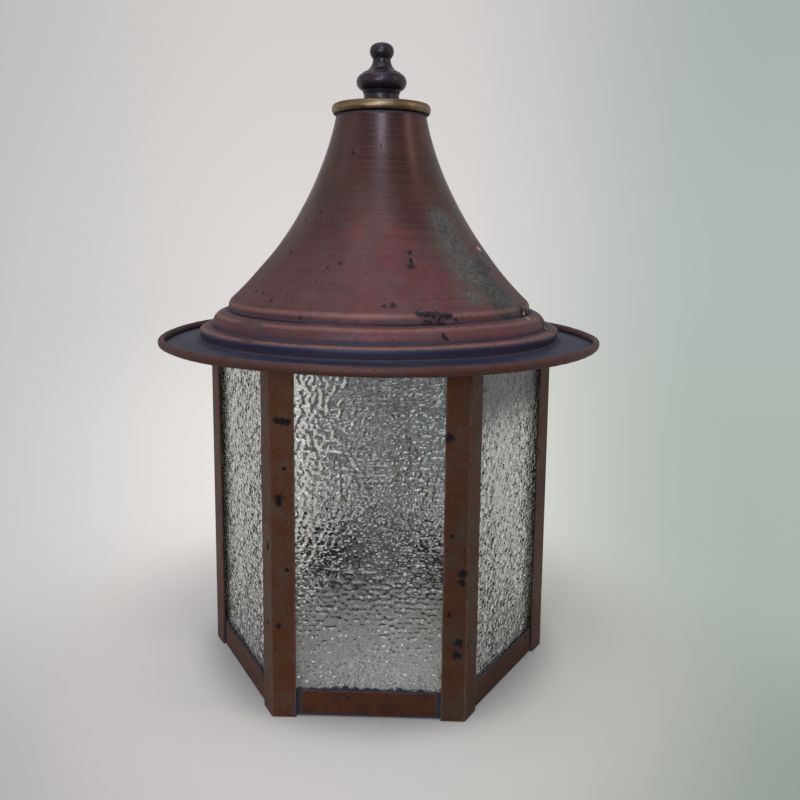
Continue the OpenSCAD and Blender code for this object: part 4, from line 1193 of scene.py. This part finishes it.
class LANTERN_OT_rails(bpy.types.Operator):
    """Bends the six bottom rails with their ledges, and the six head rails."""

    bl_idname = "lantern.rails"
    bl_label = "Rails"

    def execute(self, context):
        size = context.scene.lantern_sizes
        p = plan(size)
        for name, bay in BAYS.items():
            self.rail(size, p, name, bay)
            self.head_rail(size, p, name, bay)
        return {"FINISHED"}

    def rail(self, size, p, name, bay):
        """Bottom rail: its upright and the ledge behind it."""
        upright, faces, local = bar_along_bay(p.slot_x, size.rail_lift, p.rail_top, p.rail_y, p.pane_y,
                                              1.8 * MM, 70 + bay, bay, 0.09 * MM)
        ledge, ledge_faces = self.ledge(size, p)
        points = np.vstack([upright, on_bay(ledge, bay)])
        faces += [[i + len(upright) for i in face] for face in ledge_faces]
        ends = p.slot_x - np.abs(local[:, 0])
        below_top = p.rail_top - local[:, 2]
        edge = np.minimum(np.minimum(ends, below_top), local[:, 2] - size.rail_lift)
        # Painted shade: the rail's inner face and its ledge get the full dark mark.
        inner = np.clip((local[:, 1] + p.pane_y + 0.4 * MM) / (0.3 * MM), 0, 1)
        wear = fading(edge, 0.6) * 0.8 * (1 - inner)
        grime = np.maximum(np.maximum(fading(below_top, 1.2) * 0.6, fading(ends, 2.2) * 0.35), inner)
        marks = {"wear": np.concatenate([wear, np.zeros(len(ledge))]),
                 "grime": np.concatenate([grime, np.ones(len(ledge))])}
        make_piece(f"rail_{name}_bent", points, faces, "body", (f"rail_{name}",), "rail_copper", marks)

    def head_rail(self, size, p, name, bay):
        """Plain strip over the pane, mitred at both ends."""
        foot = size.body_height - size.head_rail_height
        strip, faces, local = bar_along_bay(mitre(size, p.rail_y), foot, size.body_height, p.rail_y, p.pane_y,
                                            3 * MM, 90 + bay, bay, 0.05 * MM, True)
        low = local[:, 2] - foot
        marks = {"wear": fading(low, 0.6) * 0.6, "grime": fading(low - 9 * MM, 4) * 0.6}
        make_piece(f"head_rail_{name}_strip", strip, faces, "body", (f"head_rail_{name}",), "rail_copper",
                   marks)

    def ledge(self, size, p):
        """Mitred ledge behind the upright, in a few rows so that its edge can waver."""
        cols = LEDGE_COLS
        rows = []
        for z, y in ((p.ledge_z, p.rail_y), (p.ledge_z, p.ledge_back), (size.rail_lift, p.ledge_back),
                     (size.rail_lift, p.rail_y)):
            x = np.linspace(-mitre(size, y), mitre(size, y), cols)
            rows.append(np.column_stack([x, np.full(cols, -y), np.full(cols, z)]))
        points = np.vstack(rows)
        back = np.abs(points[:, 1] + p.ledge_back) < 1e-6
        points[back, 1] -= 0.25 * MM * (0.6 + 0.4 * ripple(points[back] * [1, 0, 0], 0.02, 7))
        faces = grid_faces(4, cols, wrap_rows=True)
        faces += [[0, cols, 2 * cols, 3 * cols], [4 * cols - 1, 3 * cols - 1, 2 * cols - 1, cols - 1]]
        return points, faces


# Glass

def hammered(x, z, size, seed):
    """Relief of hammered glass: round caps that run into each other, over a light swell."""
    u, v = x / size.pebble, z * 1.12 / size.pebble
    total = np.zeros(len(x))
    for i in (-1, 0, 1):
        for j in (-1, 0, 1):
            a, b = np.floor(u) + i, np.floor(v) + j
            # Three numbers for each cell that look random: its cap's shift in both directions and its width
            lots = [np.modf(np.sin(a * 12.9 + b * k + seed) * 4375.85)[0] for k in (78.2, 37.7, 94.3)]
            away = (u - a - 0.5 - 0.42 * lots[0]) ** 2 + (v - b - 0.5 - 0.42 * lots[1]) ** 2
            total += np.exp(-9 * away * (1 + 0.3 * lots[2]))
    flat = np.column_stack([x, z, 0 * x])
    swell = 0.08 * ripple(flat, size.pebble * 1.6, seed + 1, 24)
    swell += 0.03 * ripple(flat, size.pebble * 0.5, seed, 40)
    return size.relief * (0.5 + np.log(total + 1e-4) / 9 + swell)


def creeping(distance, reach):
    """1 at no distance and more within, falling ever more slowly. The reach is in millimetres."""
    return np.exp(-(distance / (reach * MM)))


class LANTERN_OT_glass(bpy.types.Operator):
    """Casts the five hammered panes, with dirt along their edges and old putty on the rails."""

    bl_idname = "lantern.glass"
    bl_label = "Hammered panes"

    def execute(self, context):
        size = context.scene.lantern_sizes
        p = plan(size)
        for name, bay in PANED_BAYS.items():
            self.pane(size, p, name, bay)
        for name, bay in BAYS.items():
            self.putty(size, p, name, bay)
        return {"FINISHED"}

    def pane(self, size, p, name, bay):
        """One pane: the outer face is hammered, the inner one nearly flat."""
        wide, tall = PANE_CELLS
        x = np.linspace(-p.pane_half, p.pane_half, wide + 1)
        z = np.linspace(p.ledge_z, p.pane_top, tall + 1)
        gz, gx = (v.ravel() for v in np.meshgrid(z, x, indexing="ij"))
        relief = hammered(gx, gz, size, 11 * bay + 5) * (1.0 if name == "front" else 0.8)
        rim = np.minimum(p.pane_half - np.abs(gx), np.minimum(gz - p.ledge_z, p.pane_top - gz))
        face = np.column_stack([gx, -p.pane_y + 1.1 * MM - np.clip(rim / (1 * MM), 0, 1) * relief, gz])
        face[:, 1] = np.maximum(face[:, 1], -p.pane_y)
        bz, bx = (v.ravel() for v in np.meshgrid(z[::PANE_COARSE], x[::PANE_COARSE], indexing="ij"))
        back = np.column_stack([bx, np.full(bx.size, -p.pane_back), bz])
        points = np.vstack([face, back])
        make_piece(f"pane_{name}_hammered", on_bay(points, bay), self.pane_faces(), "body", (f"pane_{name}",),
                   "hammered_glass", {"grime": self.soil(points, p, name)}, 60)

    def pane_faces(self):
        """Fine face, coarse back and the four edges between them."""
        wide, tall = PANE_CELLS
        every = PANE_COARSE
        rows, cols = tall // every + 1, wide // every + 1
        start = (tall + 1) * (wide + 1)
        faces = grid_faces(tall + 1, wide + 1)
        faces += [[start + i for i in face[::-1]] for face in grid_faces(rows, cols)]

        def fine(r, c):
            """Number of a point of the hammered face."""
            return r * (wide + 1) + c

        def coarse(r, c):
            """Number of a point of the back."""
            return start + r * cols + c

        for i in range(rows - 1):
            for c, k, way in ((0, 0, 1), (wide, cols - 1, -1)):
                edge = [fine(i * every + j, c) for j in range(every + 1)] + [coarse(i + 1, k), coarse(i, k)]
                faces.append(edge[::way])
        for i in range(cols - 1):
            for r, k, way in ((0, 0, -1), (tall, rows - 1, 1)):
                edge = [fine(r, i * every + j) for j in range(every + 1)] + [coarse(k, i + 1), coarse(k, i)]
                faces.append(edge[::way])
        return faces

    def soil(self, points, p, name):
        """Dirt along the edges of a pane, and a veil over the upper part of the front right one."""
        x, z = np.abs(points[:, 0]), points[:, 2]
        worse = 1.0 if name == "front" else 2.0
        soil = creeping(p.pane_half - 9 * MM - x, 4 * worse) * 0.28 * worse
        soil = np.maximum(soil, creeping(z - p.rail_top, 3 * worse) * 0.62)
        soil = np.clip(np.maximum(soil, creeping(p.pane_top - 6 * MM - z, 6) * 0.4), 0, 0.8)
        if name == "front_right":
            soil = np.maximum(soil, np.clip((z - p.pane_top + 95 * MM) / (80 * MM), 0, 0.78))
        return soil

    def putty(self, size, p, name, bay):
        """Crumbling dirt on the rail's edge, against the glass."""
        end = p.slot_x + size.rail_slot + 2 * MM
        few, many = PUTTY_COLS
        xs = np.concatenate([np.linspace(-end, -p.slot_x - 0.15 * MM, few),
                             np.linspace(-p.slot_x, p.slot_x, many),
                             np.linspace(p.slot_x + 0.15 * MM, end, few)])
        cols = len(xs)
        flat = np.column_stack([xs, 0 * xs, 0 * xs])
        rise = 1.1 + 0.9 * ripple(flat, 0.007, 300 + bay) + 0.6 * ripple(flat, 0.0022, 310 + bay)
        rise *= 0.55 + 0.45 * np.clip(ripple(flat, 0.05, 320 + bay) + 0.9, 0, 1)
        rise = np.clip(rise, 0.06, 3.0) * MM
        depth = np.clip(0.75 + 0.3 * ripple(flat, 0.004, 330 + bay), 0.2, 1.1) * MM
        front = -p.pane_y - 0.02 * MM
        beside = np.abs(xs) > p.slot_x + 0.1 * MM
        foot = np.where(beside, size.rail_lift + 0.4 * MM, p.rail_top - 0.15 * MM)
        rise += np.where(beside, size.rail_height - 0.6 * MM, 0)
        section = ((0, 0), (1, 0), (1.0, 0.45), (0.62, 0.9), (0.15, 1), (0, 0.92))
        points = np.vstack([np.column_stack([xs, front - y * depth, foot + z * rise]) for y, z in section])
        free = points[:, 1] < front - 0.01 * MM
        points[:, 1] += np.where(free, 0.12 * MM * ripple(points, 0.002, 340 + bay), 0)
        rows = len(section)
        ends = [[i * cols for i in range(rows)], [i * cols + cols - 1 for i in range(rows)][::-1]]
        faces = grid_faces(rows, cols, wrap_rows=True) + ends
        make_piece(f"putty_{name}", on_bay(points, bay), faces, "body", (), None, None, 70)


# Inside

def thread(radius, depth, pitch, foot, top):
    """Points of a rounded thread, row by row, and its number of rows."""
    rows = max(8, round((top - foot) / pitch * ROWS_PER_TURN))
    z = np.linspace(foot, top, rows)
    ease = np.clip(np.minimum(z - foot, top - z) / (pitch * 0.6), 0, 1)[:, None]
    angle = around(THREAD_STEPS)
    wave = 0.5 + 0.5 * np.cos(2 * math.pi * z[:, None] / pitch - angle)
    return ring(radius - depth * wave * ease, z, angle), rows


class LANTERN_OT_lampholder(bpy.types.Operator):
    """Finishes the arm, plate and lampholder, and cuts the screw threads."""

    bl_idname = "lantern.lampholder"
    bl_label = "Lampholder and fittings"

    def execute(self, context):
        size = context.scene.lantern_sizes
        low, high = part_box("holder_shell")
        sheet, depth, bore = 0.95 * MM, 0.5 * MM, 13.58 * MM
        outer, rows = thread(high.x, depth, size.thread_pitch, low.z, high.z)
        inner, rows = thread(high.x - sheet + depth, depth, size.thread_pitch, low.z, high.z)
        inner_r = np.hypot(inner[:, 0], inner[:, 1])
        inner[:, :2] *= (np.maximum(inner_r, bore) / inner_r)[:, None]
        count = len(outer)
        wall = grid_faces(rows, THREAD_STEPS, wrap_cols=True)
        faces = wall + [[count + i for i in face[::-1]] for face in wall]
        for row, way in ((0, -1), (rows - 1, 1)):
            for step in range(THREAD_STEPS):
                a, b = row * THREAD_STEPS + step, row * THREAD_STEPS + (step + 1) % THREAD_STEPS
                faces.append([a, b, count + b, count + a][::way])
        make_piece("holder_shell_threaded", np.vstack([outer, inner]), faces, "body", ("holder_shell",),
                   "holder_brass", None, 40)
        dress_nodes({"holder_brass", "porcelain", "plate_tinned", "clip_copper", "rivet_copper", "aged_brass",
                     "post_copper", "rail_copper"})
        return {"FINISHED"}


class LANTERN_OT_lamp(bpy.types.Operator):
    """Blows the lamp's globe and threads its cap."""

    bl_idname = "lantern.lamp"
    bl_label = "Lamp"

    def execute(self, context):
        self.cap(context.scene.lantern_sizes)
        self.globe()
        dress_nodes({"lamp_glass", "filament_steel", "cap_steel"})
        return {"FINISHED"}

    def cap(self, size):
        """Contact, insulator, thread and collar of the lamp's cap."""
        low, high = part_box("lamp_cap")
        r, foot, top = high.x, low.z, high.z
        middle, rows = thread(r, 0.7 * MM, size.thread_pitch, foot + 5.5 * MM, top - 3 * MM)
        below = np.array([(0.3 * MM, foot), (3.3 * MM, foot), (4.8 * MM, foot + 1.1 * MM),
                          (r - 2.2 * MM, foot + 3.9 * MM), (r - 0.5 * MM, foot + 4.7 * MM)])
        above = np.array([(r - 0.1 * MM, top - 2.4 * MM), (r, top - 0.6 * MM), (r - 0.4 * MM, top),
                          (0.3 * MM, top)])
        ends = [ring(line[:, :1], line[:, 1], around(THREAD_STEPS)) for line in (below, above)]
        faces = capped_faces(len(below) + rows + len(above), THREAD_STEPS)
        make_piece("lamp_cap_threaded", np.vstack([ends[0], middle, ends[1]]), faces, "lamp", ("lamp_cap",),
                   "cap_steel", None, 40)

    def globe(self):
        """Smooth globe of thin glass with a drawn-in neck."""
        low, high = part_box("lamp_globe")
        centre = high.z - high.x
        neck_r, sheet, neck_pull, ball_pull, meet = 13.2 * MM, 0.9 * MM, 17 * MM, 12 * MM, 40
        sides = []
        for inset in (0.0, sheet):
            r = high.x - inset
            start = (neck_r - inset, low.z)
            edge = (r * cosd(meet), centre - r * sind(meet))
            pull = (edge[0] - ball_pull * sind(meet), edge[1] - ball_pull * cosd(meet))
            line = [tuple(bezier(start, (start[0], low.z + neck_pull), pull, edge, t)[0])
                    for t in np.linspace(0, 1, 24)]
            sides.append(line + arc(0, centre, r, r, 2 - meet, 89.5, 60))
        section = np.array(sides[0] + sides[1][::-1])
        turned_piece("lamp_globe_blown", section, GLOBE_STEPS, "lamp", ("lamp_globe",), "lamp_glass", 60)


# Stage

# Radii of the rings of the floor's disc
FLOOR_RADII = np.concatenate([[0.002], np.linspace(0.04, 0.9, 30)])

# Lights: name, setting of its power, place, aim, width, height and colour
LIGHTS = (
    ("key", "key", (-0.10, -0.30, 1.25), (0, 0, 0.1), 0.8, 0.6, (1.0, 0.98, 0.97)),
    ("front", "front", (-0.22, -1.25, 0.46), (0, 0, 0.15), 0.7, 0.42, (0.93, 0.96, 1.0)),
    ("high", "high", (0.07, -1.05, 1.00), (0, 0, 0.35), 0.24, 0.32, (0.55, 0.72, 1.0)),
    ("side", "warm", (0.88, -0.26, 0.72), (0, 0, 0.3), 0.16, 0.6, (1.0, 0.80, 0.68)),
    ("fill", "fill", (-0.95, -0.35, 0.75), (0, 0, 0.2), 0.7, 0.8, (1.0, 0.98, 0.95)),
)


class LANTERN_OT_stage(bpy.types.Operator):
    """Sets the floor, backdrop, lights and camera."""

    bl_idname = "lantern.stage"
    bl_label = "Stage"

    def execute(self, context):
        stage = context.scene.lantern_stage
        self.floor(stage)
        self.world(stage)
        self.lamps(stage)
        self.camera(context, stage)
        context.scene.view_settings.view_transform = "Standard"
        return {"FINISHED"}

    def floor(self, stage):
        """Pale disc that fades into the backdrop, with painted shade and speckles under the lantern."""
        points = ring(FLOOR_RADII[:, None], 0 * FLOOR_RADII, around(FLOOR_STEPS))
        faces = grid_faces(len(FLOOR_RADII), FLOOR_STEPS, wrap_cols=True) + [list(range(FLOOR_STEPS))]
        mesh = bpy.data.meshes.new("floor")
        mesh.from_pydata(points.tolist(), [], faces)
        tone = bpy.context.scene.lantern_colours.floor
        tree, shader, at = new_material("floor_paper")
        radius = put(tree, "VectorMath", {0: at}, operation="LENGTH").outputs["Value"]
        cooler = [v * k for v, k in zip(tone, (0.88, 0.94, 0.88))]
        paint = mixed(tree, stepped(tree, axis(tree, at, 0), -0.25, 0.3), tone, cooler)
        # Painted shade: the floor is darker inside the lantern's foot and lighter beyond it.
        paint = shaded(tree, paint, stepped(tree, radius, 0.10, 0.14, 0.70, 1.12))
        grain = noise(tree, put(tree, "Mapping", {"Vector": at, "Scale": (260, 60, 60)}), 1.0, 3.0, 0.6)
        crumbs = stepped(tree, grain, 0.40, 0.60, 0.3, 1.6)
        crumbs = most(tree, crumbs, stepped(tree, radius, 0.095, 0.10))
        crumbs = maths(tree, "MINIMUM", crumbs, stepped(tree, radius, 0.095, 0.10, 2.0, 1.0))
        paint = shaded(tree, paint, crumbs)
        wire(tree, shader, {"Base Color": paint, "Roughness": 0.9, "Specular IOR Level": 0.2})
        mix_in(tree, stepped(tree, radius, 0.12, stage.floor_fade), put(tree, "BsdfTransparent"))
        mesh.materials.append(finish_of("floor_paper"))
        floor = bpy.data.objects.new("floor", mesh)
        bpy.context.scene.collection.objects.link(floor)
        floor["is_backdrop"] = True

    def world(self, stage):
        """Pale backdrop for camera, glossy and transmission rays, and even light for the rest."""
        world = bpy.data.worlds.new("studio")
        bpy.context.scene.world = world
        world.use_nodes = True
        tree = world.node_tree
        tree.nodes.clear()
        x, y, z = put(tree, "SeparateXYZ", {0: put(tree, "TexCoord").outputs["Generated"]}).outputs
        path = put(tree, "LightPath").outputs
        right = mixed(tree, stepped(tree, z, -0.35, 0.1), (0.410, 0.475, 0.415), (0.435, 0.495, 0.490))
        tone = mixed(tree, stepped(tree, x, -0.03, 0.35), (0.735, 0.700, 0.690), right)
        tone = mixed(tree, stepped(tree, x, -0.60, -0.15), (0.500, 0.515, 0.500), tone)
        tone = mixed(tree, stepped(tree, maths(tree, "ABSOLUTE", x), 0.48, 0.75), tone, (0.620, 0.600, 0.590))
        rise = stepped(tree, z, -0.1, 0.32, 1.0, 0.88)
        fall = stepped(tree, z, -0.53, -0.36, 0.74, 1.0)
        tone = shaded(tree, tone, times(tree, rise, fall))
        glow = times(tree, stepped(tree, z, -0.40, -0.30), stepped(tree, z, -0.24, -0.08, 1.0, 0.0))
        glow = times(tree, glow, stepped(tree, x, -0.6, -0.2))
        glow = times(tree, glow, stepped(tree, x, 0.0, 0.25, 1.0, 0.0))
        tone = shaded(tree, tone, maths(tree, "MULTIPLY_ADD", glow, 0.13, 1.0))
        room = stepped(tree, y, -0.5, 0.3, 0.22, 1.0)
        mirrored = most(tree, room, less(tree, 1.0, path["Is Glossy Ray"]))
        seen = put(tree, "Background", {0: tone, 1: mirrored})
        light = put(tree, "Background", {0: (1.0, 0.99, 0.98, 1), 1: stage.ambient})
        direct = most(tree, path["Is Glossy Ray"], path["Is Transmission Ray"])
        direct = most(tree, path["Is Camera Ray"], direct)
        put(tree, "OutputWorld", {0: put(tree, "MixShader", {0: direct, 1: light, 2: seen})})

    def lamps(self, stage):
        """Large soft top light, two cool ones in front, a warm one on the right and a fill on the left."""
        for name, setting, place, aim, width, height, tone in LIGHTS:
            data = bpy.data.lights.new(name, "AREA")
            data.shape, data.size, data.size_y = "RECTANGLE", width, height
            data.energy, data.color = getattr(stage, setting), tone
            lamp = bpy.data.objects.new(name, data)
            bpy.context.scene.collection.objects.link(lamp)
            lamp.location = place
            lamp.rotation_euler = (Vector(aim) - Vector(place)).to_track_quat("-Z", "Y").to_euler()

    def camera(self, context, stage):
        """The photograph's viewpoint."""
        pitch, yaw, roll = (math.radians(v) for v in (8.254, -1.819, 0.577))
        ahead = Vector((math.sin(yaw) * math.cos(pitch), math.cos(yaw) * math.cos(pitch), -math.sin(pitch)))
        right = ahead.cross(Vector((0, 0, 1))).normalized()
        up = right.cross(ahead)
        right, up = (math.cos(roll) * right + math.sin(roll) * up,
                     math.cos(roll) * up - math.sin(roll) * right)
        data = bpy.data.cameras.new("camera")
        data.lens, data.sensor_width, data.shift_y = stage.lens, 36.0, -0.0631
        camera = bpy.data.objects.new("camera", data)
        context.scene.collection.objects.link(camera)
        turn = Matrix((right, up, -ahead)).transposed().to_4x4()
        camera.matrix_world = Matrix.Translation(stage.camera) @ turn
        context.scene.camera = camera


# Add-on

class LANTERN_PT_panel(bpy.types.Panel):
    """Settings and steps of the lantern."""

    bl_label = "Wall lantern"
    bl_idname = "LANTERN_PT_panel"
    bl_space_type = "VIEW_3D"
    bl_region_type = "UI"
    bl_category = "Lantern"

    def draw(self, context):
        layout = self.layout
        for step in STEPS:
            layout.operator(step.bl_idname)
        for group in GROUPS:
            box = layout.box()
            box.label(text=group.split("_")[1].title())
            settings = getattr(context.scene, group)
            for name in settings.__annotations__:
                box.prop(settings, name)


STEPS = (LANTERN_OT_finishes, LANTERN_OT_roof, LANTERN_OT_crown, LANTERN_OT_posts, LANTERN_OT_rails,
         LANTERN_OT_glass, LANTERN_OT_lampholder, LANTERN_OT_lamp, LANTERN_OT_stage)
GROUPS = {"lantern_sizes": LanternSizes, "lantern_colours": LanternColours, "lantern_stage": LanternStage}


def register():
    """Adds the settings, the operators and the panel."""
    for cls in (*GROUPS.values(), *STEPS, LANTERN_PT_panel):
        bpy.utils.register_class(cls)
    for name, cls in GROUPS.items():
        setattr(bpy.types.Scene, name, PointerProperty(type=cls))


def unregister():
    """Takes them away again."""
    for name in GROUPS:
        delattr(bpy.types.Scene, name)
    for cls in reversed((*GROUPS.values(), *STEPS, LANTERN_PT_panel)):
        bpy.utils.unregister_class(cls)


def main():
    """Runs every step in order."""
    register()
    for step in STEPS:
        space, name = step.bl_idname.split(".")
        getattr(getattr(bpy.ops, space), name)()
    plain = lambda box: [[float(v) for v in corner] for corner in box]
    {"cad": plain(CAD_BOX), "visual": plain(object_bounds())}


if __name__ == "__main__":
    main()
